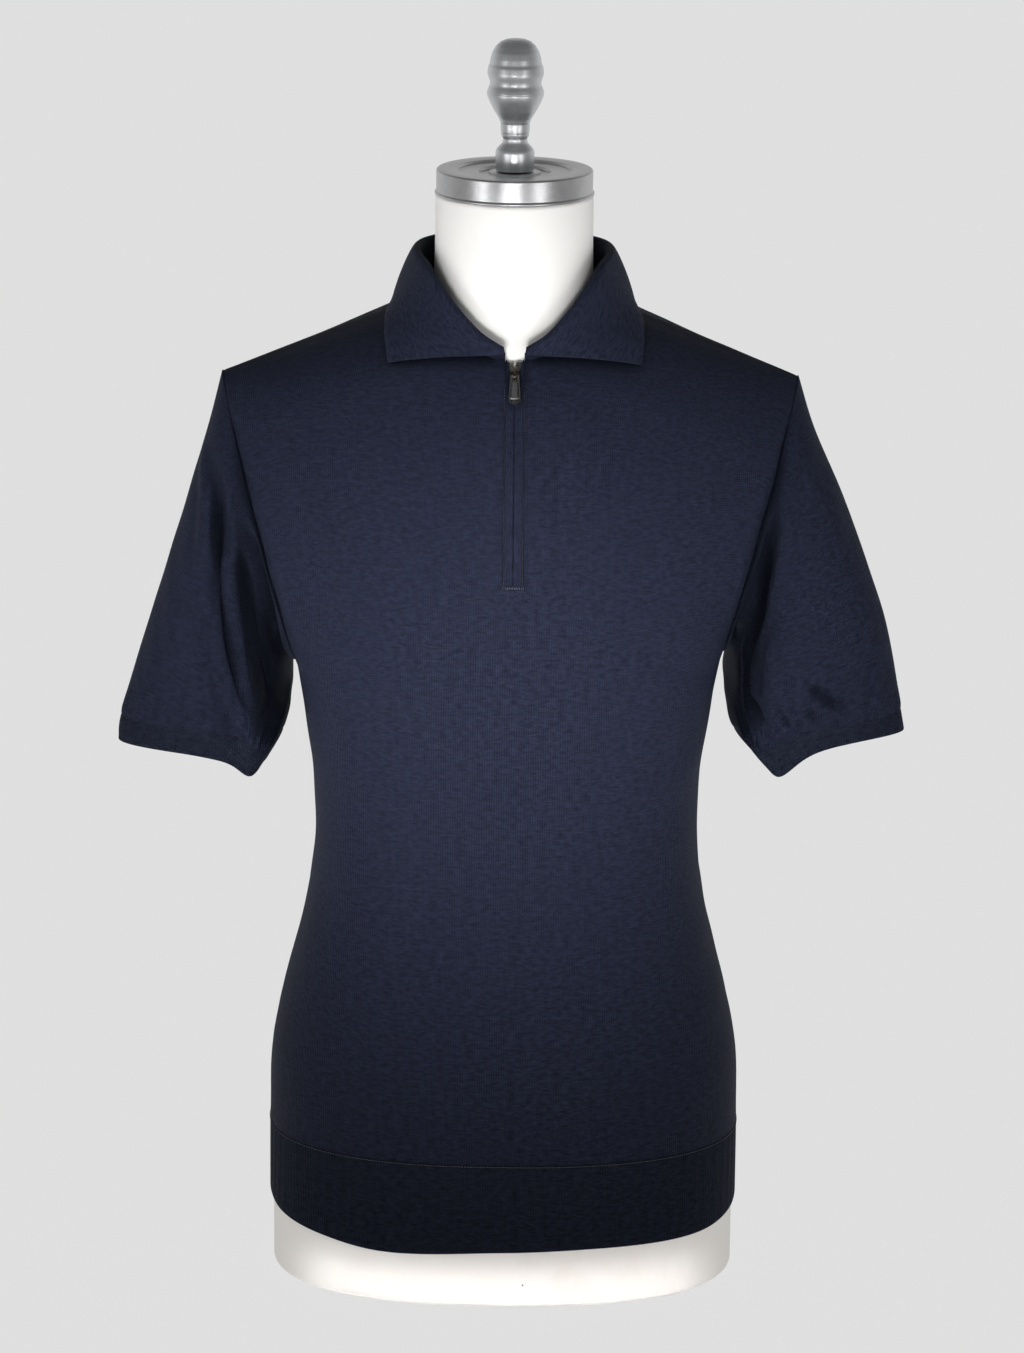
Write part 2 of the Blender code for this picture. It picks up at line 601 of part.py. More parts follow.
def build_tab(metal):
    """The pull tab hangs from the hinge line: top bar, eye, and a plate with a round end."""
    origin, up, out = front_line(SLIDER_Z + AXIS_RISE, AXIS_LIFT)
    end = TAB_LENGTH - TAB_TOP - TAB_END_HALF
    outline = [(-TAB_TOP_HALF, TAB_TOP), (-TAB_END_HALF, -end)]
    for k in range(1, TAB_TURNS):
        angle = math.pi + math.pi * k / TAB_TURNS
        outline.append((TAB_END_HALF * math.cos(angle), -end + TAB_END_HALF * math.sin(angle)))
    outline += [(TAB_END_HALF, -end), (TAB_TOP_HALF, TAB_TOP)]
    made = bmesh.new()
    face = made.faces.new([made.verts.new((x, y, -TAB_WALL / 2)) for x, y in outline])
    grown = bmesh.ops.extrude_face_region(made, geom=[face])["geom"]
    for vert in grown:
        if isinstance(vert, bmesh.types.BMVert):
            vert.co.z += TAB_WALL
    tab = add_object("pull_tab", made, metal, 30.0)
    eye = block("tab_eye", (-EYE_HALF, -0.0039, -0.003), (EYE_HALF, -0.0006, 0.003), metal)
    join_cut(tab, eye, "DIFFERENCE")
    lean_up = up * math.cos(REST_TILT) + out * math.sin(REST_TILT)
    lean_out = out * math.cos(REST_TILT) - up * math.sin(REST_TILT)
    for part in (tab, eye):
        place(part, origin, lean_up, lean_out)


# ---------------------------------------------------------------- dress form
def form_sections():
    """Closed sections of the form from its underside to the top of the neck."""
    sections = []
    for height in FORM_HEIGHTS:
        inset = FORM_INSET
        if height < FORM_FOOT:
            inset += FORM_FOOT - math.sqrt(FORM_FOOT ** 2 - (FORM_FOOT - height) ** 2)
        sections.append(Slice(
            height, read(WIDTHS, height).half - inset, read(FRONTS, height).depth - inset,
            read(BACKS, height).depth - inset, BODY_POWER,
        ))
    heights = [s.height for s in FORM_UPPER]
    middle = [(a + b) / 2 for a, b in zip(heights, heights[1:-1]) if b - a > 0.030]
    return sections + [read(FORM_UPPER, z) for z in sorted(heights + middle)]


def build_form(look):
    made = bmesh.new()
    rings = []
    for section in form_sections():
        x = NECK_X * ease((section.height - 0.60) / 0.16)
        ring = []
        for k in range(FORM_SIDES):
            angle = 2 * math.pi * k / FORM_SIDES
            depth = section.front if math.cos(angle) > 0 else section.back
            ring.append(made.verts.new((
                x + section.half * power(math.sin(angle), 2 / section.power),
                -depth * power(math.cos(angle), 2 / section.power),
                section.height,
            )))
        rings.append(ring)
    for low, high in zip(rings, rings[1:]):
        for k in range(FORM_SIDES):
            n = (k + 1) % FORM_SIDES
            made.faces.new((low[k], low[n], high[n], high[k]))
    made.faces.new(rings[0])
    made.faces.new(rings[-1])
    return add_object("form_torso", made, look)


def turned(name, profile, look):
    """A turned solid about the neck's axis, from its profile from centre to centre."""
    made = bmesh.new()
    ends = [made.verts.new((0.0, 0.0, profile[k].height)) for k in (0, -1)]
    rings = []
    for step in profile[1:-1]:
        rings.append([
            made.verts.new((
                step.radius * math.cos(2 * math.pi * k / TURNED_SIDES),
                step.radius * math.sin(2 * math.pi * k / TURNED_SIDES),
                step.height,
            ))
            for k in range(TURNED_SIDES)
        ])
    for k in range(TURNED_SIDES):
        n = (k + 1) % TURNED_SIDES
        made.faces.new((ends[0], rings[0][k], rings[0][n]))
        made.faces.new((ends[1], rings[-1][k], rings[-1][n]))
        for low, high in zip(rings, rings[1:]):
            made.faces.new((low[k], low[n], high[n], high[k]))
    part = add_object(name, made, look, 30.0)
    part.location = (NECK_X, NECK_Y, 0.0)
    return part


# ---------------------------------------------------------------- the whole object
def build():
    for thing in list(bpy.data.objects):
        bpy.data.objects.remove(thing, do_unlink=True)

    jersey = material("navy_jersey", (0.020, 0.026, 0.045), 0.85)
    rib = material("navy_rib", (0.017, 0.023, 0.040), 0.88)
    tape = material("zip_tape", (0.012, 0.014, 0.022), 0.90)
    gunmetal = material("gunmetal", (0.16, 0.16, 0.15), 0.35, 1.0)
    linen = material("form_cover", (0.86, 0.84, 0.80), 0.75)
    steel = material("brushed_steel", (0.62, 0.62, 0.62), 0.30, 1.0)

    build_form(linen)
    turned("form_neck_cap", CAP, steel)
    turned("form_knob", KNOB, steel)

    panel("front_panel", -1, jersey, ZIP_FIRST_ROW)
    panel("back_panel", 1, jersey, ZIP_ROWS)
    turns = spread(0.0, 1.0, HEM_SIDES)[:-1]
    wall("hem_rib", hem_point, turns, spread(0.0, 1.0, HEM_RINGS), RIB, rib, round_u=True)
    for side, hand in ((-1, "left"), (1, "right")):
        tube("sleeve_" + hand, side, 0.0, SLEEVE_END, SLEEVE_RINGS, JERSEY, jersey)
        tube("cuff_" + hand, side, CUFF_START, CUFF_END, CUFF_RINGS, RIB, rib)
    columns, rows = spread(-1.0, 1.0, COLLAR_COLUMNS), spread(0.0, 1.0, COLLAR_ROWS)
    wall("collar", collar_point, columns, rows, RIB, rib)
    build_zip(jersey, tape, gunmetal)
    build_slider(gunmetal)
    build_tab(gunmetal)


build()
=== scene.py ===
# %% [markdown]
# # A knitted polo shirt on a dress form
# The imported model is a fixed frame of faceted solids. This lesson dresses it: fine knitted cloth with
# its folds, real ribs, a metal zip, and the form with its turned metal cap. Every number is in metres.

# %% Load the fixed frame
import json
import math
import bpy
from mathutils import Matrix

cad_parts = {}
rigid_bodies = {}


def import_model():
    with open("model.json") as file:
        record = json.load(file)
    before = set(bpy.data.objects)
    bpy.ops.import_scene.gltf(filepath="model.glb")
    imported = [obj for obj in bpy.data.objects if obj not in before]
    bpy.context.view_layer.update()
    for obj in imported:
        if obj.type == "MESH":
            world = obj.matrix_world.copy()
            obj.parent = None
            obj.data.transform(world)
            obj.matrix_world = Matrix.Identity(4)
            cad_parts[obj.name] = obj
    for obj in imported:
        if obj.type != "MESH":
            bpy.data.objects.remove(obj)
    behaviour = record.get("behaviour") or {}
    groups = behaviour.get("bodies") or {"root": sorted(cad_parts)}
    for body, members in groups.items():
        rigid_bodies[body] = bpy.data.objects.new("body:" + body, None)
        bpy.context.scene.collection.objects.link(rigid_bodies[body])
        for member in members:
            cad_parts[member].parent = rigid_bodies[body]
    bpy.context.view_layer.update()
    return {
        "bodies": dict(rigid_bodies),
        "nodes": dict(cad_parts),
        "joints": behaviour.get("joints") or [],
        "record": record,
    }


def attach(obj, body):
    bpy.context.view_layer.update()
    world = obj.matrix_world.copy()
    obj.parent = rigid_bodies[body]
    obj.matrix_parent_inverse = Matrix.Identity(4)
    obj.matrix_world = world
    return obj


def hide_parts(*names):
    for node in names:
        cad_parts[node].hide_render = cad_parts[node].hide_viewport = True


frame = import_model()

from types import SimpleNamespace

import bmesh
import bpy
import numpy as np
from mathutils import Matrix, Vector

# %% [markdown]
# ## Camera
# The photograph looks down a little on the shirt from nearly four metres, with a long lens, so the
# neck cap shows its top while the shirt's sides stay almost parallel. A frame of 1024 by 1353 and one
# focal length in pixels fix the lens; the frame leans by half a degree, as a hand-held one does.

# %% Camera
PICTURE_HEIGHT = 1353
FOCAL_PIXELS = 5228
SENSOR = 36.0            # Blender's sensor, along the picture's long side, in millimetres

lens = bpy.data.cameras.new("camera")
lens.sensor_width = SENSOR
lens.lens = FOCAL_PIXELS / PICTURE_HEIGHT * SENSOR
camera = bpy.data.objects.new("camera", lens)
camera.matrix_world = (
    Matrix.Translation((0.0034, -3.811, 1.483))
    @ Matrix.Rotation(math.radians(90.0 - 15.0), 4, "X")
    @ Matrix.Rotation(math.radians(0.565), 4, "Z")
)
bpy.context.scene.collection.objects.link(camera)
bpy.context.scene.camera = camera
print("lens", round(lens.lens, 1), "mm")

# %% [markdown]
# ## Studio
# Knitwear for a shop is shot by soft boxes at the height of the chest, in front of an even pale grey.
# So what faces up, such as the shoulders and the knob's top, is darker than the chest. A honeycomb over
# each box keeps its beam on the chest; three dim, tall windows draw the bands on the metal, and a low
# strip lifts the white base. The floor is a lit sweep with an even brightness of its own.

# %% Floor, world and lamps
FLOOR_LIGHT = 0.735      # the backdrop's even brightness


def shader_node(tree, kind, inputs=None, **settings):
    """Adds a shader node; inputs take plain values or other nodes' outputs."""
    made = tree.nodes.new("ShaderNode" + kind)
    for key, value in settings.items():
        setattr(made, key, value)
    for key, value in (inputs or {}).items():
        if isinstance(value, bpy.types.NodeSocket):
            tree.links.new(value, made.inputs[key])
        else:
            made.inputs[key].default_value = value
    return made


def maths(tree, operation, *values):
    made = tree.nodes.new("ShaderNodeMath")
    made.operation = operation
    for socket, value in zip(made.inputs, values):
        if isinstance(value, bpy.types.NodeSocket):
            tree.links.new(value, socket)
        else:
            socket.default_value = value
    return made.outputs[0]


def spread_out(tree, value, low, high, start=0.0, end=1.0):
    """Maps low to start and high to end, and holds beyond them."""
    return shader_node(tree, "MapRange", {
        "Value": value, "From Min": low, "From Max": high, "To Min": start, "To Max": end}).outputs["Result"]


def new_material(name):
    """A material with its shader node tree and its Principled shader."""
    made = bpy.data.materials.new(name)
    made.use_nodes = True
    return made, made.node_tree, made.node_tree.nodes["Principled BSDF"]


def make_floor():
    mesh = bpy.data.meshes.new("floor")
    reach = 30.0
    corners = [(-reach, -reach, 0.0), (reach, -reach, 0.0), (reach, reach, 0.0), (-reach, reach, 0.0)]
    mesh.from_pydata(corners, [], [(0, 1, 2, 3)])
    floor = bpy.data.objects.new("floor", mesh)
    bpy.context.scene.collection.objects.link(floor)
    look, tree, shader = new_material("floor_paper")
    shader.inputs["Base Color"].default_value = (0.02, 0.02, 0.02, 1.0)
    shader.inputs["Roughness"].default_value = 1.0
    shader.inputs["Specular IOR Level"].default_value = 0.0
    shader.inputs["Emission Color"].default_value = (1.0, 1.0, 1.0, 1.0)
    shader.inputs["Emission Strength"].default_value = FLOOR_LIGHT
    mesh.materials.append(look)
    floor.visible_glossy = False
    floor.visible_shadow = False


def make_lamp(name, azimuth, power, height=0.49, wide=0.60, tall=0.36, spread=27.0, distance=1.5):
    """An upright soft box that faces the form; azimuth 0 is at the camera's side, towards +X."""
    light = bpy.data.lights.new(name, "AREA")
    light.shape = "RECTANGLE"
    light.size, light.size_y = wide, tall
    light.energy = power
    light.spread = math.radians(spread)
    lamp = bpy.data.objects.new(name, light)
    bpy.context.scene.collection.objects.link(lamp)
    a = math.radians(azimuth)
    way = Vector((math.sin(a), -math.cos(a), 0.0))
    lamp.location = way * distance + Vector((0.0, 0.0, height))
    lamp.rotation_euler = way.to_track_quat("Z", "Y").to_euler()


make_floor()
world = bpy.data.worlds.new("studio")
world.use_nodes = True
shade = world.node_tree
way = shader_node(shade, "SeparateXYZ", {"Vector": shader_node(shade, "TexCoord").outputs["Generated"]}).outputs
backdrop = spread_out(shade, way["Y"], -0.2, 0.6, 0.14, 0.52)
glow = maths(shade, "MULTIPLY_ADD", spread_out(shade, way["Z"], 0.15, 0.70, 1.0, 0.0), backdrop, 0.16)
shade.links.new(glow, shade.nodes["Background"].inputs["Strength"])
shade.nodes["Background"].inputs["Color"].default_value = (1.0, 1.0, 1.0, 1.0)
bpy.context.scene.world = world
make_lamp("soft_box_left", -46.0, 0.38)
make_lamp("soft_box_front", -4.0, 1.25, wide=0.36)
make_lamp("soft_box_right", 38.0, 0.27)
make_lamp("window_left", -48.0, 2.3, 0.65, 0.35, 1.00, 180.0)
make_lamp("window_front", -4.0, 0.7, 0.65, 0.35, 1.00, 180.0)
make_lamp("window_right", 36.0, 2.5, 0.65, 0.30, 1.00, 180.0)
make_lamp("base_strip", 0.0, 0.024, 0.012, 0.30, 0.02, 2.5)
bpy.context.scene.view_settings.view_transform = "Standard"
print("three soft boxes, three tall windows, a low strip and a pale floor")

# %% [markdown]
# ## Knit as a material
# Plain knit shows upright columns of V-shaped loops, the wales, and slightly uneven yarn, which in a
# fine dark knit reads as short level streaks. The cloth carries its flat measure in a UV map named
# `knit`, in metres, so the loops keep their size on every piece and follow its folds. The yarn's
# fuzz is the shader's own sheen. Where cloth faces cloth, deep in folds and between pieces, an
# occlusion node paints shade into the yarn's colour, down to a fifth of its darkest tone.

# %% Knit material
WALE = 0.0018            # width of one column of loops
COURSE = 0.0013          # height of one loop


def noise(tree, place, scale, stretch=(1.0, 1.0, 1.0), detail=2.0):
    """Noise over a place, finer along an axis with a larger stretch."""
    mapped = shader_node(tree, "Mapping", {"Vector": place, "Scale": stretch})
    made = shader_node(tree, "TexNoise", {
        "Vector": mapped.outputs["Vector"], "Scale": scale, "Detail": detail, "Roughness": 0.55,
    })
    return made.outputs["Fac"]


def between(tree, share, low, high):
    """A colour between two, by a share of 0 to 1."""
    made = shader_node(tree, "Mix", {"Factor": share}, data_type="RGBA")
    made.inputs["A"].default_value = (*low, 1.0)
    made.inputs["B"].default_value = (*high, 1.0)
    return made.outputs["Result"]


def loops(tree, wale, course):
    """Height of the knit's loops, 0 to 1: rounded columns, broken into V shapes."""
    flat = shader_node(tree, "UVMap", uv_map="knit").outputs["UV"]
    split = shader_node(tree, "SeparateXYZ", {"Vector": flat})
    column = maths(tree, "FRACT", maths(tree, "DIVIDE", split.outputs["X"], wale))
    from_middle = maths(tree, "ABSOLUTE", maths(tree, "SUBTRACT", column, 0.5))
    round_column = maths(tree, "COSINE", maths(tree, "MULTIPLY", from_middle, math.pi))
    row = maths(tree, "ADD", maths(tree, "DIVIDE", split.outputs["Y"], course), from_middle)
    arm = maths(tree, "SINE", maths(tree, "MULTIPLY", row, 2 * math.pi))
    arm = maths(tree, "MULTIPLY_ADD", arm, 0.25, 0.75)
    return flat, maths(tree, "MULTIPLY", round_column, arm)


def knit_material(name, dark, light, wale, course, depth):
    made, tree, shader = new_material(name)
    flat, height = loops(tree, wale, course)
    streak = spread_out(tree, noise(tree, flat, 1.0, (170.0, 650.0, 1.0), 3.0), 0.38, 0.62)
    cloud = spread_out(tree, noise(tree, flat, 150.0, (1.0, 1.8, 1.0), 4.0), 0.36, 0.64)
    share = maths(tree, "MULTIPLY_ADD", streak, 0.55, maths(tree, "MULTIPLY", height, 0.40))
    share = maths(tree, "ADD", share, maths(tree, "MULTIPLY_ADD", cloud, 0.50, -0.22))
    yarn = between(tree, share, dark, light)
    # painted shade: the occlusion node darkens the yarn where cloth faces cloth
    deep = shader_node(tree, "AmbientOcclusion", {"Distance": 0.05}, samples=6).outputs["AO"]
    painted_fold_shade = shader_node(tree, "Mix", {"Factor": spread_out(tree, deep, 0.46, 0.94), "B": yarn}, data_type="RGBA")
    painted_fold_shade.inputs["A"].default_value = (dark[0] * 0.2, dark[1] * 0.2, dark[2] * 0.2, 1.0)
    tree.links.new(painted_fold_shade.outputs["Result"], shader.inputs["Base Color"])
    shader.inputs["Roughness"].default_value = 0.65
    shader.inputs["Specular IOR Level"].default_value = 0.06
    shader.inputs["Specular Tint"].default_value = (0.56, 0.64, 1.0, 1.0)
    shader.inputs["Sheen Weight"].default_value = 0.03
    shader.inputs["Sheen Roughness"].default_value = 0.4
    shader.inputs["Sheen Tint"].default_value = (0.45, 0.52, 0.85, 1.0)
    relief = maths(tree, "MULTIPLY_ADD", streak, 0.6, height)
    bump = shader_node(tree, "Bump", {"Height": relief, "Distance": depth, "Strength": 0.8})
    tree.links.new(bump.outputs["Normal"], shader.inputs["Normal"])
    return made

jersey = knit_material("fine_jersey", (0.0050, 0.0058, 0.0112), (0.0150, 0.0174, 0.0326), WALE, COURSE, 0.0006)
# The rib is the jersey's yarn painted about a quarter darker: painted shade, for the shadow between its ribs and the
# darker hem.
ribbing = knit_material("fine_rib", (0.0040, 0.0050, 0.0092), (0.0120, 0.0144, 0.0240), WALE, COURSE, 0.0004)
# The collar's knit is the jersey's yarn painted about half again as light: painted light, for the collar's leaf that
# faces the lamps more steeply.
collar_knit_painted_lighter = knit_material("collar_knit", (0.0075, 0.0086, 0.0165), (0.0215, 0.0248, 0.0460), WALE, COURSE, 0.0004)
print("knit", round(1 / WALE / 100, 1), "wales a centimetre")

# %% [markdown]
# ## From a few measured sections to a surface
# The garment was measured as short tables: widths and depths of the body by height, rings of the
# sleeves, the collar's fold and edge. One smooth curve through a table's rows gives any height
# between them. The tables are the ones that the solids were worked out from, so the fine cloth lies
# on the solids by itself.

# %% Curves through tables
def lerp(a, b, share):
    return a + (b - a) * share


def ease(share):
    share = np.clip(share, 0.0, 1.0)
    return share * share * (3.0 - 2.0 * share)


def power(value, exponent):
    return np.copysign(np.abs(value) ** exponent, value)


def follow(rows, at):
    """The other columns of a table at values of its first, on a smooth curve through all rows."""
    table = np.array(rows, float)
    keys, values = table[:, 0], table[:, 1:]
    slopes = np.gradient(values, axis=0)
    slopes[1:-1] = (values[2:] - values[:-2]) / (keys[2:] - keys[:-2])[:, None]
    slopes[0] = (values[1] - values[0]) / (keys[1] - keys[0])
    slopes[-1] = (values[-1] - values[-2]) / (keys[-1] - keys[-2])
    at = np.clip(np.asarray(at, float), keys[0], keys[-1])
    i = np.clip(np.searchsorted(keys, at, side="right") - 1, 0, len(keys) - 2)
    span = (keys[i + 1] - keys[i])[..., None]
    t = (at - keys[i])[..., None] / span
    a, b, m, n = values[i], values[i + 1], slopes[i] * span, slopes[i + 1] * span
    return a + t * (m + t * (3 * (b - a) - 2 * m - n + t * (2 * (a - b) + m + n)))


# %% Sizes of the body cloth
GAP = 0.0003             # between pieces that meet
ZIP_X = 0.0033           # the zip hangs a little off the body's centre line
NECK_X, NECK_Y = 0.0018, -0.008
HEM_TOP = 0.1135         # the seam between the panels and the hem rib
PIT = {-1: 0.4746, 1: 0.4840}    # armpit heights; side -1 is seen on the left
TIP = (0.2137, 0.6955)   # shoulder tip: half width and height
PIT_CENTRE = 0.479
PIT_ROW = 0.5            # share of a panel's rows below the armpit
NECK_ROW = 0.64          # share of its upper rows below the neckline
ARMHOLE_DEPTH = {-1: 0.042, 1: 0.048}   # front and back
NECK_SIDE = (0.066, 0.752)
NECK_CENTRE = {-1: 0.722, 1: 0.766}
SLOT = {-1: 0.0072, 1: 0.0040}   # half width of the strip that holds the zip; the back's is cloth
BODY_POWER, SHOULDER_POWER = 2.4, 1.5   # squareness of the sections

# height, half width
WIDTHS = (
    (0.000, 0.1797), (0.118, 0.1795), (0.167, 0.1785), (0.193, 0.1747), (0.2175, 0.1695),
    (0.242, 0.1631), (0.266, 0.1571), (0.290, 0.1511), (0.314, 0.1474), (0.338, 0.1453),
    (0.362, 0.1451), (0.3855, 0.1460), (0.409, 0.1488), (0.433, 0.1520), (0.4565, 0.1559),
    (0.484, 0.1605),
)
# height, distance in front of the centre
FRONTS = (
    (0.000, 0.1215), (0.110, 0.1220), (0.165, 0.1220), (0.215, 0.1190), (0.265, 0.1135),
    (0.315, 0.1085), (0.365, 0.1065), (0.410, 0.1080), (0.445, 0.1105), (0.480, 0.1130),
    (0.540, 0.1140), (0.600, 0.1090), (0.650, 0.1000), (0.690, 0.0890), (0.722, 0.0775),
)
# height, distance behind it
BACKS = (
    (0.000, 0.1200), (0.110, 0.1215), (0.165, 0.1215), (0.215, 0.1180), (0.265, 0.1090),
    (0.315, 0.1000), (0.365, 0.0960), (0.410, 0.0980), (0.445, 0.1020), (0.480, 0.1070),
    (0.540, 0.1150), (0.600, 0.1190), (0.650, 0.1170), (0.700, 0.1060), (0.740, 0.0880),
    (0.766, 0.0700),
)


def half_width(z):
    return follow(WIDTHS, z)[..., 0]


def depth_at(face, z):
    return follow(FRONTS if face < 0 else BACKS, z)[..., 0]


def stack(x, y, z):
    return np.stack(np.broadcast_arrays(x, y, z), axis=-1).astype(float)


print("body sections:", len(WIDTHS), "widths,", len(FRONTS), "front and", len(BACKS), "back depths")

# %% [markdown]
# ## Cloth pieces
# A piece of cloth here is a grid of points with a flat measure of its own, which becomes the UV map.
# A grid keeps rows and columns, so a seam is simply its first or last row, and a fold can be pressed
# in afterwards. The wall comes from a Solidify modifier, which keeps the outer face where it is.

# %% Grids, meshes and walls
SHIRT = "shirt_on_form"


def normals_of(points, closed):
    """Unit normals of a grid; a closed one joins its last column to its first."""
    if closed:
        wide = np.concatenate([points[:, -1:], points, points[:, :1]], axis=1)
        along_u = (wide[:, 2:] - wide[:, :-2]) / 2
    else:
        along_u = np.gradient(points, axis=1)
    normal = np.cross(along_u, np.gradient(points, axis=0))
    return normal / np.maximum(np.linalg.norm(normal, axis=-1, keepdims=True), 1e-12)


def flat_measure(points, closed, middle=None):
    """The cloth's own measure: along its rows from the middle column, and up its columns."""
    wide = np.concatenate([points, points[:, :1]], axis=1) if closed else points
    across = np.linalg.norm(np.diff(wide, axis=1), axis=-1).cumsum(axis=1)
    across = np.concatenate([np.zeros((len(points), 1)), across], axis=1)
    if middle is not None:
        across = across - across[:, middle:middle + 1]
    up = np.linalg.norm(np.diff(wide, axis=0), axis=-1).cumsum(axis=0)
    up = np.concatenate([np.zeros((1, wide.shape[1])), up], axis=0)
    return np.stack([across, up], axis=-1)


def cloth_piece(points, outward, closed=False, middle=None):
    """A cloth grid; outward is a point's direction that tells which of its sides shows."""
    normal = normals_of(points, closed)
    flip = 1.0 if (normal * outward).sum() > 0 else -1.0
    flat = flat_measure(points, closed, middle)
    return SimpleNamespace(points=points, normal=normal * flip, flip=flip, flat=flat, closed=closed)


def build_mesh(name, cloth, looks, thick=0.0, kept=None):
    """Turns a cloth grid into an object, with its flat measure as the UV map named knit."""
    rows, columns = cloth.points.shape[:2]
    i, j = np.meshgrid(np.arange(columns if cloth.closed else columns - 1), np.arange(rows - 1))
    right = (i + 1) % columns
    quads = np.stack([j * columns + i, j * columns + right, (j + 1) * columns + right, (j + 1) * columns + i], -1)
    uv = np.stack([cloth.flat[j, i], cloth.flat[j, i + 1], cloth.flat[j + 1, i + 1], cloth.flat[j + 1, i]], -2)
    if kept is not None:
        quads, uv = quads[kept(i, j)], uv[kept(i, j)]
    quads, uv = quads.reshape(-1, 4), uv.reshape(-1, 4, 2)
    if cloth.flip < 0:
        quads, uv = quads[:, ::-1], uv[:, ::-1]
    used = np.unique(quads)
    number = np.zeros(rows * columns, int)
    number[used] = np.arange(len(used))
    mesh = bpy.data.meshes.new(name)
    mesh.from_pydata(cloth.points.reshape(-1, 3)[used].tolist(), [], number[quads].tolist())
    layer = mesh.uv_layers.new(name="knit")
    layer.uv.foreach_set("vector", uv.reshape(-1, 2).astype(np.float32).ravel())
    mesh.materials.append(looks)
    mesh.shade_smooth()
    piece = bpy.data.objects.new(name, mesh)
    bpy.context.scene.collection.objects.link(piece)
    if thick:
        wall = piece.modifiers.new("wall", "SOLIDIFY")
        wall.thickness = thick
        wall.offset = -1.0
    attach(piece, SHIRT)
    wide, long = (np.ptp(cloth.flat[..., axis], axis=1 - axis).max() for axis in (0, 1))
    area = sum(face.area for face in mesh.polygons)
    print(f"{name}: {len(quads)} faces, laid flat about {wide:.3f} by {long:.3f} m, {area:.4f} square metres")
    return piece


def relax(points, times, closed=False):
    """Lets a grid settle: each inner point moves halfway to the mean of its neighbours."""
    for _ in range(times):
        around = np.roll(points, 1, axis=1) + np.roll(points, -1, axis=1)
        around = around[1:-1] + points[2:] + points[:-2]
        moved = (points[1:-1] + around / 4) / 2
        if not closed:
            moved[:, [0, -1]] = points[1:-1][:, [0, -1]]
        points = np.concatenate([points[:1], moved, points[-1:]])
    return points


# %% [markdown]
# ## Folds placed one by one
# A fold is a soft trough with a low ridge on each side. Its path is a few places seen from the front,
# x and z, that are looked up on the cloth's front or back. It fades out towards its ends. A negative
# depth raises a ridge instead.

# %% Pressing a fold
def near_path(cloth, path, face, ends=(0.0, 0.0)):
    """How far each point of the cloth is from a path on one face, and how strong the path is there."""
    spots = cloth.points.reshape(-1, 3)
    facing = spots[cloth.normal.reshape(-1, 3)[:, 1] * face > 0.02]
    near = [facing[np.argmin(((facing[:, (0, 2)] - place) ** 2).sum(-1))] for place in np.array(path)]
    line = follow([(k, *point) for k, point in enumerate(near)], np.linspace(0, len(near) - 1, 24))
    best = np.full(len(spots), 1e9)
    place = np.zeros(len(spots))
    for k in range(len(line) - 1):
        run = line[k + 1] - line[k]
        t = np.clip(((spots - line[k]) @ run) / max(run @ run, 1e-12), 0.0, 1.0)
        away = np.linalg.norm(spots - (line[k] + t[:, None] * run), axis=-1)
        closer = away < best
        best[closer] = away[closer]
        place[closer] = ((k + t) / (len(line) - 1))[closer]
    strength = lerp(ends[0], 1.0, ease(place / 0.3)) * lerp(ends[1], 1.0, ease((1.0 - place) / 0.3))
    shape = cloth.points.shape[:2]
    up = cloth.flat[:, :shape[1], 1]
    seam = np.minimum(up, up[-1:] - up)      # seams hold the cloth
    return best.reshape(shape), strength.reshape(shape) * ease(seam / 0.012)


def crease(cloth, path, depth, width, face=-1, shoulder=0.30):
    """Presses a trough, with a low ridge on each side, into the cloth."""
    away, strength = near_path(cloth, path, face)
    profile = np.exp(-(away / width) ** 2) - shoulder * np.exp(-((away / width - 1.9) ** 2))
    cloth.points = cloth.points - cloth.normal * (depth * strength * profile)[..., None]
    cloth.normal = normals_of(cloth.points, cloth.closed) * cloth.flip


def tuck_back(cloth, path, depth, width, face=-1):
    """Pushes the cloth straight back along a path, where it hides behind the fold beside it."""
    away, strength = near_path(cloth, path, face, (0.0, 0.6))
    cloth.points[..., 1] -= face * depth * strength * np.exp(-(away / width) ** 2)
    cloth.normal = normals_of(cloth.points, cloth.closed) * cloth.flip


def slack(cloth, amount, wave, phase=0.0):
    """Lets the cloth wander by a fraction of a millimetre, so that it isn't drum tight."""
    u, v = np.moveaxis(cloth.flat[:, :cloth.points.shape[1]], -1, 0) * (2 * math.pi / wave)
    drift = (np.sin(u + 0.7 * v + phase) + np.sin(1.7 * v - 0.9 * u + 2.1 * phase) + np.sin(0.6 * u - 1.3 * v + 4.0))
    if cloth.closed:
        drift = drift * np.sin(np.linspace(0.0, math.pi, drift.shape[1])) ** 0.5
    hold = np.sin(np.linspace(0.0, math.pi, len(drift)))[:, None] ** 0.5
    cloth.points = cloth.points + cloth.normal * (amount / 3 * drift * hold)[..., None]
    cloth.normal = normals_of(cloth.points, cloth.closed) * cloth.flip


def seam_roll(cloth, rows=(), columns=(), depth=0.0007, reach=0.0035):
    """Rolls the cloth in along seams: rows and columns name the edges, 0 or -1."""
    shift = np.zeros(cloth.points.shape[:2])
    for edges, axis in ((rows, 1), (columns, 0)):
        for edge in edges:
            measure = cloth.flat[..., axis][:, :shift.shape[1]]
            away = np.abs(measure - (measure[edge:edge + 1 or None] if axis else measure[:, edge:edge + 1 or None]))
            shift = np.maximum(shift, depth * np.exp(-(away / reach) ** 2))
    cloth.points = cloth.points - cloth.normal * shift[..., None]


# %% [markdown]
# ## The body: two fully fashioned panels
# Front and back are knitted to shape and joined at the sides and shoulders. A section of the body is
# a squared ellipse; above the armpit the same section leans over into the shoulder, between the
# armhole at one side and the zip or the neckline at the other. Folds are few and shallow, because the
# form fills the cloth: a soft pull from each armpit, and a little slack at the small of the back.

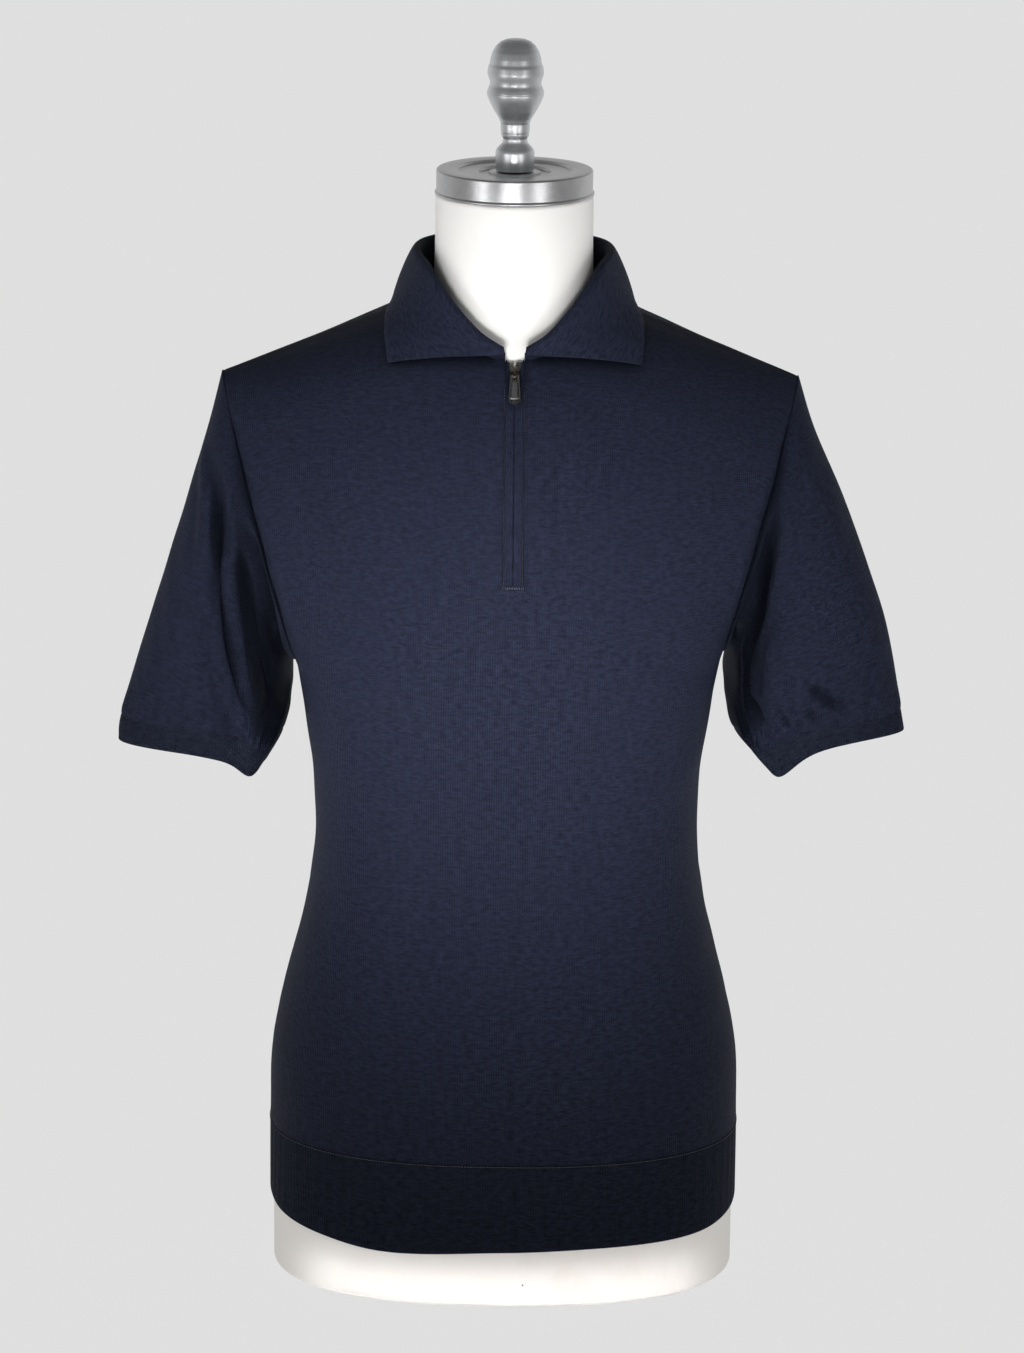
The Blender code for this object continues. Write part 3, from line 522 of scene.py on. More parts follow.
# %% Body surface
def armhole(face, side, share):
    """The armhole's edge, from the armpit (0) to the shoulder tip (1)."""
    turn = math.pi * (1.0 - share)
    rise = (1.0 + np.cos(turn)) / 2
    pit = np.where(side < 0, PIT[-1], PIT[1])
    half = lerp(half_width(pit), TIP[0], rise)
    return stack(side * half, face * ARMHOLE_DEPTH[face] * np.sin(turn), lerp(pit, TIP[1], rise))


def neckline(face, side, share, slot):
    """The neckline, from the centre (0) to the shoulder seam (1)."""
    turn = share * math.pi / 2
    height = NECK_CENTRE[face]
    middle = ZIP_X if face < 0 else 0.0
    return stack(
        lerp(middle + side * slot, NECK_X + side * NECK_SIDE[0], np.sin(turn)),
        face * depth_at(face, height) * np.cos(turn),
        lerp(height, NECK_SIDE[1], np.sin(turn) ** 1.6),
    )


def body_cloth(face, across, up):
    """Points of a panel: across -1 to 1 between the side seams, up 0 at the hem rib to 1."""
    across, up = np.meshgrid(across, up)
    side = np.where(across < 0, -1.0, 1.0)
    turn = np.minimum(np.abs(across), 1.0) * math.pi / 2
    middle = ZIP_X if face < 0 else 0.0
    centre = middle + side * SLOT[face]
    pit = np.where(side < 0, PIT[-1], PIT[1])

    rise = np.clip(up / PIT_ROW, 0.0, 1.0)
    low_share = np.sin(turn) ** (2 / BODY_POWER)
    low_z = lerp(HEM_TOP + GAP * (1.0 - rise), lerp(PIT_CENTRE, pit, low_share ** 2), rise)
    low_half = half_width(low_z)
    low_x = lerp(centre, side * low_half, low_share)
    low_beyond = np.minimum(np.abs(low_x / low_half), 1.0)
    low_y = face * depth_at(face, low_z) * (1.0 - low_beyond ** BODY_POWER) ** (1 / BODY_POWER)

    part = np.clip((up - PIT_ROW) / (1.0 - PIT_ROW), 0.0, 1.0)
    front_z = lerp(PIT_CENTRE, NECK_CENTRE[face], np.minimum(part / NECK_ROW, 1.0))
    straight = stack(centre, face * depth_at(face, front_z), front_z)
    curved = neckline(face, side, np.clip((part - NECK_ROW) / (1.0 - NECK_ROW), 0.0, 1.0), SLOT[face])
    inner = np.where((part > NECK_ROW)[..., None], curved, straight)
    outer = armhole(face, side, part)
    square = lerp(BODY_POWER, SHOULDER_POWER, ease(part))
    share = np.sin(turn) ** (2 / square)
    x = lerp(inner[..., 0], outer[..., 0], share)
    z = lerp(inner[..., 2], outer[..., 2], share ** lerp(2.0, 1.0, ease(part)))
    start = inner[..., 0] - centre
    beyond = np.minimum(np.abs((x - start) / (outer[..., 0] - start)), 1.0)
    y = lerp(outer[..., 1], inner[..., 1], (1.0 - beyond ** square) ** (1 / square))

    points = np.where((up <= PIT_ROW)[..., None], stack(low_x, low_y, low_z), stack(x, y, z))
    points[..., 1] += face * GAP * 0.6
    return points


# %% Front and back panels
BODY_COLUMNS = 64        # on each side of the centre strip
LOWER_ROWS, UPPER_ROWS = 96, 104
ZIP_BOTTOM, ZIP_TOP = 0.5590, 0.7210


def panel_grid(face):
    half = np.linspace(0.0, 1.0, BODY_COLUMNS + 1)
    across = np.concatenate([-half[::-1] - 1e-6, half + 1e-6])
    up = np.concatenate([np.linspace(0, PIT_ROW, LOWER_ROWS + 1), np.linspace(PIT_ROW, 1, UPPER_ROWS + 1)[1:]])
    points = body_cloth(face, np.clip(across, -1.0, 1.0), up)
    settled = relax(points, 40)
    strip = [BODY_COLUMNS, BODY_COLUMNS + 1]
    settled[:, strip] = points[:, strip]
    return cloth_piece(settled, np.array((0.0, face, 0.0)), middle=BODY_COLUMNS)


front = panel_grid(-1)
back = panel_grid(1)


def open_for_zip(i, j):
    height = front.points[j, BODY_COLUMNS, 2]
    return (i != BODY_COLUMNS) | (height < ZIP_BOTTOM)


slack(front, 0.0006, 0.085)
slack(back, 0.0008, 0.085, 1.5)
PULLS = (                # soft ridges along the armholes, and pulls from the armpits
    (((-0.1930, 0.6600), (-0.1830, 0.6100), (-0.1690, 0.5500), (-0.1610, 0.5050)), -0.0022, 0.011),
    (((0.1960, 0.6600), (0.1850, 0.6100), (0.1700, 0.5500), (0.1610, 0.5100)), -0.0022, 0.011),
    (((-0.1480, 0.4900), (-0.1150, 0.5250), (-0.0850, 0.5500)), -0.0012, 0.012),
    (((0.1480, 0.4950), (0.1150, 0.5300), (0.0900, 0.5550)), -0.0012, 0.012),
    (((-0.1380, 0.4600), (-0.1050, 0.4780), (-0.0750, 0.4820)), -0.0010, 0.010),
    (((0.1380, 0.4650), (0.1050, 0.4850), (0.0800, 0.4900)), -0.0010, 0.010),
)
for face, cloth in ((-1, front), (1, back)):
    for path, depth, width in PULLS:
        crease(cloth, path, depth, width, face)
for level in (0.300, 0.335, 0.375):      # slack at the small of the back
    crease(back, ((-0.0950, level + 0.008), (0.0, level - 0.006), (0.0900, level + 0.010)), -0.0022, 0.011, 1)
seam_roll(front, rows=(0,), columns=(0, -1), depth=0.0004, reach=0.0025)
seam_roll(back, rows=(0, -1), columns=(0, -1))
JERSEY_WALL = 0.0010
front_piece = build_mesh("front_knit", front, jersey, JERSEY_WALL, open_for_zip)
back_piece = build_mesh("back_knit", back, jersey, JERSEY_WALL)
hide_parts("front_panel")
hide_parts("back_panel")

# %% [markdown]
# ## Ribbed hem
# The hem is a band of rib, joined to the panels loop by loop, so a fine pale chain of thread shows
# along the join. Its ribs are real ridges here: every column of the grid knows how far round the
# body it is, and is raised by its place within one rib. The lower edge rolls in softly.

# %% Ribs and rolled edges
RIB_PITCH = 0.0021       # one rib and its groove
RIB_HEIGHT = 0.00024
COLUMNS_A_RIB = 6


def roll_in(points, normal, radius, tuck, steps=4):
    """Adds rows to a grid's last edge, so that it turns in round a radius and runs back inside."""
    edge, out = points[-1], normal[-1]
    onward = points[-1] - points[-2]
    onward = onward / np.linalg.norm(onward, axis=-1, keepdims=True)
    rows = [
        edge + onward * radius * math.sin(a) - out * radius * (1.0 - math.cos(a))
        for a in np.linspace(0.0, math.pi, steps + 1)[1:]
    ]
    rows.append(rows[-1] - onward * tuck)
    return np.concatenate([points, np.array(rows)])


def tuck_under(points, normal, rise, depth):
    """Adds a row before a grid's first edge, behind the piece that it is joined to."""
    back = points[0] - points[1]
    back = back / np.linalg.norm(back, axis=-1, keepdims=True)
    return np.concatenate([[points[0] + back * rise - normal[0] * depth], points])


def raise_ribs(cloth, ribs, height, fade_rows=0):
    """Raises the given number of ribs round a closed grid; the rows after fade_rows stay plain."""
    columns = cloth.points.shape[1]
    turn = np.arange(columns) / columns * ribs
    profile = np.abs(np.sin(turn * math.pi)) ** 0.75
    strength = np.ones(len(cloth.points))
    if fade_rows:
        strength[-fade_rows:] = 0.0
    shift = height * (profile[None, :] - 1.0) * strength[:, None]
    cloth.points = cloth.points + cloth.normal * shift[..., None]


# %% Hem rib
# turns round the body from the front centre towards +X, height of the lower edge
HEM_EDGE = (
    (0.000, 0.0455), (0.050, 0.0475), (0.150, 0.0480), (0.210, 0.0530), (0.250, 0.0565),
    (0.320, 0.0500), (0.500, 0.0455), (0.680, 0.0500), (0.750, 0.0580), (0.810, 0.0520),
    (0.870, 0.0470), (0.930, 0.0420), (1.000, 0.0455),
)
HEM_RIBS = 460
RIB_WALL = 0.0013


def hem_points(turn, share):
    """share 0 is the seam with the panels, 1 the lower edge."""
    turn, share = np.meshgrid(turn, share)
    angle = turn * 2 * math.pi
    z = lerp(HEM_TOP, follow(HEM_EDGE, turn)[..., 0], share)
    face = np.where(np.cos(angle) > 0, -1.0, 1.0)
    x = half_width(z) * power(np.sin(angle), 2 / BODY_POWER)
    y = -np.where(face < 0, depth_at(-1, z), depth_at(1, z)) * power(np.cos(angle), 2 / BODY_POWER)
    return stack(x, y + face * GAP * 0.6 * np.abs(np.cos(angle)), z)


def even_turns(surface, count, share):
    """Turns that space a closed row evenly along its length."""
    fine = np.linspace(0.0, 1.0, 2001)
    row = surface(fine, [share])[0]
    length = np.concatenate([[0.0], np.linalg.norm(np.diff(row, axis=0), axis=-1).cumsum()])
    return np.interp(np.linspace(0.0, length[-1], count + 1)[:-1], length, fine)


hem_turns = even_turns(hem_points, HEM_RIBS * COLUMNS_A_RIB, 0.5)
hem_grid = hem_points(hem_turns, np.linspace(0.0, 1.0, 9))
hem_plain = cloth_piece(hem_grid, hem_grid * (1, 1, 0), closed=True)
hem_folded = roll_in(hem_grid, hem_plain.normal, 0.0009, 0.004)
seen = len(hem_grid)
hem_folded = tuck_under(hem_folded, hem_plain.normal, 0.0025, 0.0008)
hem = cloth_piece(hem_folded, hem_folded * (1, 1, 0), closed=True)
hem.flip = hem_plain.flip
hem.normal = np.concatenate([hem_plain.normal[:1], hem_plain.normal, np.zeros_like(hem_folded[seen + 1:])])
raise_ribs(hem, HEM_RIBS, RIB_HEIGHT)
hem_piece = build_mesh("hem_ribbing", hem, ribbing, 0.0)
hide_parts("hem_rib")

# %% [markdown]
# ## Sleeves
# A sleeve hangs from the armhole as a fan of rings: round at the armhole, then flatter, because it
# hangs empty. It is pinched in by its own long fold, and the cloth near the armpit is tucked behind
# the body. The long folds stand in the rings' table; the smaller ones are pressed in one by one.

# %% Sleeves
# ring, outer edge x and z, inner edge x and z, front, back, fold's place, depth and half width
SLEEVES = {
    -1: (
        (0.0, 0.2137, 0.6955, 0.1590, 0.4746, 0.042, 0.048, 0.10, 0.000, 0.10),
        (0.2, 0.2240, 0.6550, 0.1612, 0.4700, 0.050, 0.046, 0.18, 0.001, 0.10),
        (0.4, 0.2405, 0.6000, 0.1636, 0.4615, 0.050, 0.043, 0.31, 0.006, 0.10),
        (0.6, 0.2600, 0.5350, 0.1650, 0.4490, 0.046, 0.040, 0.48, 0.010, 0.10),
        (0.8, 0.2775, 0.4780, 0.1664, 0.4340, 0.040, 0.036, 0.68, 0.010, 0.09),
        (1.0, 0.2910, 0.4300, 0.1720, 0.4155, 0.034, 0.032, 0.80, 0.006, 0.08),
        (1.2, 0.2930, 0.4118, 0.1830, 0.3960, 0.030, 0.028, 0.86, 0.002, 0.08),
    ),
    1: (
        (0.0, 0.2137, 0.6955, 0.1605, 0.4840, 0.042, 0.048, 0.66, 0.000, 0.10),
        (0.2, 0.2265, 0.6560, 0.1632, 0.4800, 0.050, 0.046, 0.70, 0.003, 0.09),
        (0.4, 0.2495, 0.6040, 0.1652, 0.4700, 0.050, 0.043, 0.74, 0.009, 0.09),
        (0.6, 0.2685, 0.5530, 0.1660, 0.4570, 0.046, 0.040, 0.83, 0.011, 0.08),
        (0.8, 0.2850, 0.5015, 0.1676, 0.4400, 0.040, 0.036, 0.88, 0.011, 0.07),
        (1.0, 0.2965, 0.4400, 0.1741, 0.4200, 0.034, 0.032, 0.88, 0.007, 0.07),
        (1.2, 0.2992, 0.4255, 0.1900, 0.4010, 0.030, 0.028, 0.90, 0.002, 0.07),
    ),
}
CUFF_START, CUFF_END = 1.0010, 1.2
SLEEVE_COLUMNS, SLEEVE_ROWS = 200, 128
CUFF_TIP = {-1: (150.0, 0.0105), 1: (138.0, 0.0135)}     # where the cuff hangs lowest, and by how much
FALL_BACK = 0.046        # how far the cloth between the long fold and the body falls back
SLEEVE_LEAN = math.radians(16.0)


def sleeve_points(side, turn, along):
    """turn 0 is the outer edge and a quarter the front; along 0 is the armhole, 1 the cuff's seam."""
    turn, along = np.meshgrid(turn, along)
    turn = turn * 2 * math.pi
    outer_x, outer_z, inner_x, inner_z, ahead, behind, fold, deep, wide = np.moveaxis(
        follow(SLEEVES[side], along), -1, 0)
    soft = ease(along / 0.6)
    c, s = np.cos(turn), np.sin(turn)
    inside, front = c < 0, s > 0
    lean = front * (1.0 - ease((along - 0.6) / 0.4))
    across = (1.0 - power(c, lerp(1.0, np.where(inside, lerp(0.6, 0.85, lean), 1.0), soft))) / 2
    lift = power(s, lerp(1.0, np.where(inside, lerp(0.65, 1.5, lean), 1.15), soft))
    y = -lift * np.where(s > 0, ahead, behind)
    y = y + np.where(front, deep * s * np.exp(-((across - fold) / wide) ** 2), 0.0)
    end = ease(along / CUFF_END)
    x = lerp(outer_x, inner_x, across) - 0.3 * end * y
    z = lerp(outer_z, inner_z, across ** lerp(1.0, 2.0, along / CUFF_END))
    t = np.clip((across - fold) / (1.0 - fold), 0.0, 1.0)
    fall = FALL_BACK * ease(along / 0.35) * (1.0 - ease((along - 0.55) / 0.5))
    y = y + fall * np.where(front, t * t / (t + 0.12) * 1.12, ease((across - 0.6) / 0.4))
    low_turn, low = CUFF_TIP[side]
    z = z - low * end * np.exp(-((np.degrees(turn) - low_turn) / 24.0) ** 2)
    return stack(side * (x + GAP * 1.6), y, z)


def ring_centres(side, along):
    """The middle of each ring, to tell a sleeve's outside from its inside."""
    rings = follow(SLEEVES[side], along)
    x, z = (rings[:, 0] + rings[:, 2]) / 2, (rings[:, 1] + rings[:, 3]) / 2
    return stack(side * x, np.zeros_like(x), z)[:, None]


def sleeve_cloth(side, first, last, rows, columns):
    turns = even_turns(lambda t, s: sleeve_points(side, t, s), columns, (first + last) / 2)
    along = np.linspace(first, last, rows)
    points = sleeve_points(side, turns, along)
    return cloth_piece(points, points - ring_centres(side, along), closed=True)


# side, path over x and z, depth, half width: the cloth between the long fold and the body
TUCKS = (
    (-1, ((-0.2035, 0.6050), (-0.1985, 0.5550), (-0.1915, 0.5050), (-0.1845, 0.4550), (-0.1810, 0.4250)), 0.012, 0.0120),
    (1, ((0.1990, 0.6300), (0.1890, 0.5550), (0.1810, 0.5050), (0.1775, 0.4650), (0.1800, 0.4350)), 0.012, 0.0105),
)
# side, path over x and z, depth, half width, face
FOLDS = (
    (-1, ((-0.2190, 0.6550), (-0.2173, 0.6050), (-0.2150, 0.5650), (-0.2125, 0.5380), (-0.2069, 0.4945), (-0.1985, 0.4543),
          (-0.1935, 0.4290)), 0.0100, 0.0060, -1),
    (-1, ((-0.2255, 0.6500), (-0.2239, 0.6046), (-0.2228, 0.5750), (-0.2190, 0.5350)), -0.0040, 0.0055, -1),
    (-1, ((-0.2026, 0.5700), (-0.1953, 0.5131), (-0.1885, 0.4650), (-0.1850, 0.4350)), -0.0020, 0.0080, -1),
    (-1, ((-0.1939, 0.5950), (-0.1828, 0.5501), (-0.1735, 0.5048), (-0.1710, 0.4650)), 0.0110, 0.0060, -1),
    (-1, ((-0.2260, 0.4480), (-0.2245, 0.4345)), 0.0016, 0.0030, -1),
    (-1, ((-0.2100, 0.4450), (-0.2085, 0.4310)), 0.0016, 0.0030, -1),
    (-1, ((-0.2160, 0.6000), (-0.2060, 0.5300), (-0.2000, 0.4700), (-0.1960, 0.4350)), 0.0045, 0.0080, 1),
    (-1, ((-0.2300, 0.6300), (-0.2360, 0.5600), (-0.2420, 0.4900)), -0.0022, 0.0110, 1),
    (-1, ((-0.2550, 0.4800), (-0.2350, 0.4500), (-0.2200, 0.4380)), 0.0020, 0.0060, 1),
    (1, ((0.1975, 0.6150), (0.1935, 0.5700), (0.1886, 0.5255), (0.1832, 0.4869), (0.1818, 0.4575), (0.1880, 0.4400),
         (0.1990, 0.4270)), 0.0100, 0.0052, -1),
    (1, ((0.1990, 0.5200), (0.1945, 0.4900), (0.1940, 0.4600), (0.2020, 0.4460), (0.2150, 0.4350)),
     -0.0022, 0.0055, -1),
    (1, ((0.1840, 0.5800), (0.1770, 0.5307), (0.1715, 0.5013), (0.1710, 0.4743)), 0.0100, 0.0055, -1),
    (1, ((0.1991, 0.4480), (0.2070, 0.4390), (0.2152, 0.4300)), 0.0036, 0.0035, -1),
    (1, ((0.2220, 0.4680), (0.2385, 0.4575), (0.2560, 0.4440)), 0.0050, 0.0036, -1),
    (1, ((0.2205, 0.4470), (0.2340, 0.4370)), 0.0028, 0.0032, -1),
    (1, ((0.2708, 0.4850), (0.2716, 0.4490)), 0.0016, 0.0040, -1),
    (1, ((0.2145, 0.6250), (0.2145, 0.5862), (0.2144, 0.5400)), 0.0022, 0.0090, -1),
    (1, ((0.2160, 0.6100), (0.2080, 0.5400), (0.2030, 0.4800), (0.1990, 0.4400)), 0.0045, 0.0080, 1),
    (1, ((0.2350, 0.6200), (0.2440, 0.5500), (0.2520, 0.4900)), -0.0022, 0.0110, 1),
    (1, ((0.2650, 0.4900), (0.2450, 0.4620), (0.2300, 0.4480)), 0.0020, 0.0060, 1),
)


def pucker(cloth, row, waves, amount, reach):
    """Small uneven waves where a seam gathers the cloth, fading away from it."""
    columns = cloth.points.shape[1]
    turn = np.arange(columns) / columns * 2 * math.pi
    wave = np.sin(waves * turn) * (0.6 + 0.4 * np.sin(5 * turn + 1.0)) + 0.5 * np.sin(0.63 * waves * turn + 2.0)
    away = np.abs(cloth.flat[:, :columns, 1] - cloth.flat[row, :columns, 1])
    shift = amount * wave * (away / reach) * np.exp(1.0 - away / reach)
    cloth.points = cloth.points + cloth.normal * shift[..., None]


def lay_straight(cloth, side):
    """Measures a sleeve's knit square to its length, as it is knitted, not along its rings."""
    wide = np.concatenate([cloth.points, cloth.points[:, :1]], axis=1)
    down = wide[..., 2] * math.cos(SLEEVE_LEAN) - wide[..., 0] * side * math.sin(SLEEVE_LEAN)
    cloth.flat = np.stack([cloth.flat[..., 0], down], axis=-1)


def allow_seam(cloth):
    """Adds the seam allowance that runs on under the body's edge."""
    under = tuck_under(cloth.points, cloth.normal, 0.0035, 0.0011)
    tip = cloth.points[0, :, 2] - cloth.points[0, :, 2].max()
    under[0] = lerp(cloth.points[0], under[0], ease(-tip / 0.030)[:, None])
    cloth.points = under
    cloth.normal = np.concatenate([cloth.normal[:1], cloth.normal])
    cloth.flat = np.concatenate([cloth.flat[:1], cloth.flat])


sleeve_pieces = {}
sleeves = {side: sleeve_cloth(side, 0.0, CUFF_START - 0.0005, SLEEVE_ROWS, SLEEVE_COLUMNS) for side in (-1, 1)}
for side, path, depth, width in TUCKS:
    tuck_back(sleeves[side], path, depth, width)
for side, path, depth, width, face in FOLDS:
    crease(sleeves[side], path, depth, width, face)
crease(sleeves[1], ((0.2111, 0.6846), (0.2104, 0.6491), (0.2127, 0.6264), (0.2118, 0.6000)), -0.0006, 0.0018)
for side, hand in ((-1, "left"), (1, "right")):
    slack(sleeves[side], 0.0008, 0.07, 1.0 + side)
    pucker(sleeves[side], -1, 34, 0.0008, 0.007)
    seam_roll(sleeves[side], rows=(-1,), depth=0.0004, reach=0.0025)
    lay_straight(sleeves[side], side)
    allow_seam(sleeves[side])
    piece = build_mesh("sleeve_knit_" + hand, sleeves[side], jersey, JERSEY_WALL)
    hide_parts("sleeve_" + hand)
    sleeve_pieces[side] = piece

# %% Cuffs
CUFF_RIBS = 150
cuff_pieces = {}
for side, hand in ((-1, "left"), (1, "right")):
    plain = sleeve_cloth(side, CUFF_START, CUFF_END - 0.004, 12, CUFF_RIBS * COLUMNS_A_RIB)
    rolled = tuck_under(roll_in(plain.points, plain.normal, 0.0009, 0.014), plain.normal, 0.0020, 0.0006)
    cuff = cloth_piece(rolled, np.zeros(3), closed=True)
    cuff.flip = plain.flip
    cuff.normal = np.concatenate([plain.normal[:1], plain.normal, np.zeros_like(rolled[13:])])
    raise_ribs(cuff, CUFF_RIBS, RIB_HEIGHT)
    piece = build_mesh("cuff_ribbing_" + hand, cuff, ribbing, 0.0)
    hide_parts("cuff_" + hand)
    cuff_pieces[side] = piece

# %% [markdown]
# ## Collar
# The collar is one band: it stands up from the neckline, folds over, and its leaf falls back over
# the shoulders with its free edge a few millimetres off the cloth. Three lines round the neck give
# it: the foot on the neckline, the crest of the fold, and the free edge.

# %% Collar
# turn from the front end (0) to the centre back (1), then fold x, y, z and edge x, y, z
COLLAR = (
    (0.00, 0.0088, -0.0845, 0.7305, 0.0930, -0.0660, 0.7163),
    (0.10, 0.0225, -0.0805, 0.7385, 0.0948, -0.0520, 0.7273),
    (0.20, 0.0330, -0.0745, 0.7475, 0.0955, -0.0370, 0.7362),
    (0.30, 0.0440, -0.0670, 0.7590, 0.0950, -0.0220, 0.7422),
    (0.40, 0.0560, -0.0540, 0.7740, 0.0935, -0.0080, 0.7455),
    (0.50, 0.0640, -0.0370, 0.7840, 0.0915, 0.0060, 0.7467),
    (0.62, 0.0715, -0.0080, 0.7885, 0.0885, 0.0260, 0.7468),
    (0.75, 0.0660, 0.0290, 0.7900, 0.0800, 0.0590, 0.7465),
    (0.88, 0.0390, 0.0580, 0.7900, 0.0500, 0.0825, 0.7440),
    (1.00, 0.0000, 0.0680, 0.7900, 0.0000, 0.0930, 0.7420),
)
SHOULDER_TURN = 0.62
FOLD_DROP, FOLD_HALF = 0.0040, 0.0034


def unit(way):
    return way / np.linalg.norm(way, axis=-1, keepdims=True)


def through(stops, at):
    """Rows of points on a smooth curve through a list of point rows, at places 0 to 1."""
    table = np.array(stops)
    keyed = np.concatenate([np.arange(len(table))[:, None], table.reshape(len(table), -1)], axis=1)
    rows = follow(keyed, np.asarray(at) * (len(table) - 1))
    return rows.reshape(len(rows), *table.shape[1:])


def collar_points(u, v):
    """u -1 to 1 from one front end round the back to the other, v 0 at the foot to 1 at the edge."""
    side = np.where(u > 0, 1.0, -1.0)
    turn = 1.0 - np.abs(u)
    rows = follow(COLLAR, turn)
    middle = lerp(ZIP_X, NECK_X, np.minimum(turn / 0.4, 1.0))
    ahead = neckline(-1, side, np.minimum(turn / SHOULDER_TURN, 1.0), SLOT[-1])
    behind = neckline(1, side, np.minimum((1.0 - turn) / (1.0 - SHOULDER_TURN), 1.0), 0.0)
    foot = np.where((turn <= SHOULDER_TURN)[:, None], ahead, behind) + (0.0, 0.0, -0.0012)
    fold = stack(middle + side * rows[:, 0], rows[:, 1], rows[:, 2])
    edge = stack(middle + side * rows[:, 3], rows[:, 4], rows[:, 5])
    along = unit(np.gradient(fold, axis=0))

    def level(way):
        return unit(way - along * (way * along).sum(-1, keepdims=True))

    stand, leaf = level(foot - fold), level(edge - fold)
    crest, inward = -unit(stand + leaf), unit(stand - leaf)
    stops = (
        foot,
        (foot + fold) / 2 + inward * 0.0015,
        fold - crest * FOLD_DROP + inward * FOLD_HALF,
        fold,
        fold - crest * FOLD_DROP - inward * FOLD_HALF,
        (fold + edge) / 2 - inward * 0.0030,
        edge,
    )
    return through(stops, v)


collar_u = np.linspace(-1.0, 1.0, 241)
collar_grid = collar_points(collar_u, np.linspace(0.0, 1.0, 61))
collar = cloth_piece(collar_grid, np.zeros(3))
leaf_row = collar.normal[50]
collar.flip = 1.0 if leaf_row[120, 1] > 0 else -1.0
collar.normal = collar.normal * collar.flip
curl = np.linspace(0.0, 1.0, 6)[1:, None, None] ** 2
collar.points[-5:] -= collar.normal[-5:] * 0.0014 * curl      # the free edge curls under
collar_piece = build_mesh("collar_knit", collar, collar_knit_painted_lighter, 0.0014)
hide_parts("collar")

# %% [markdown]
# ## Dress form
# The form is a smooth shell, a little inside the cloth all round, with the neck and the base in
# sight. Its sections carry on from the body's own tables, and above the armpits from a second one.

# %% Dress form shell
FORM_INSET = 0.0029
FORM_FOOT = 0.0030
# height, half width, front, back, squareness
FORM_UPPER = (
    (0.520, 0.1650, 0.1080, 0.1070, 2.35), (0.560, 0.1715, 0.1065, 0.1110, 2.30),
    (0.600, 0.1790, 0.1020, 0.1120, 2.20), (0.640, 0.1850, 0.0945, 0.1080, 2.05),
    (0.665, 0.1860, 0.0880, 0.1020, 1.90), (0.690, 0.1760, 0.0810, 0.0920, 1.75),
    (0.710, 0.1430, 0.0735, 0.0830, 1.60), (0.726, 0.1090, 0.0685, 0.0740, 1.52),
    (0.740, 0.0785, 0.0655, 0.0660, 1.58), (0.752, 0.0622, 0.0640, 0.0590, 1.85),
    (0.765, 0.0594, 0.0640, 0.0525, 2.00), (0.785, 0.0586, 0.0650, 0.0490, 2.00),
    (0.802, 0.0583, 0.0655, 0.0492, 2.00), (0.816, 0.0583, 0.0658, 0.0498, 2.00),
    (0.827, 0.0583, 0.0663, 0.0502, 2.00), (0.8310, 0.0583, 0.0663, 0.0502, 2.00),
)
FORM_COLUMNS = 160


def form_grid():
    low = np.array([0.0, 0.08, 0.14, 0.17, 0.20, 0.23, 0.26, 0.30, 0.34, 0.38, 0.43, 0.48])
    lower = np.stack([
        low, half_width(low) - FORM_INSET, depth_at(-1, low) - FORM_INSET,
        depth_at(1, low) - FORM_INSET, np.full(len(low), BODY_POWER),
    ], axis=-1)
    sections = np.concatenate([lower, np.array(FORM_UPPER)])
    curl = np.linspace(0.0, math.pi / 2, 6)
    heights = np.concatenate([
        FORM_FOOT * (1 - np.cos(curl)), np.linspace(0.006, 0.70, 120), np.linspace(0.704, 0.831, 50)])
    inset = np.zeros(len(heights))
    inset[:len(curl)] = FORM_FOOT * (1 - np.sin(curl))
    half, ahead, behind, square = (follow(sections, heights) - inset[:, None] * (1, 1, 1, 0)).T[..., None]
    angle = np.arange(FORM_COLUMNS) / FORM_COLUMNS * 2 * math.pi
    depth = np.where(np.cos(angle) > 0, ahead, behind)
    x = NECK_X * ease((heights - 0.60) / 0.16)[:, None] + half * power(np.sin(angle), 2 / square)
    y = -depth * power(np.cos(angle), 2 / square)
    points = stack(x, y, heights[:, None])
    middle = points.mean(axis=1, keepdims=True)
    floor = lerp(points[:1], middle[:1] * (1, 1, 0), 0.97) * (1, 1, 0)
    top = lerp(points[-1:], middle[-1:], 0.5)
    return np.concatenate([floor, points, top])


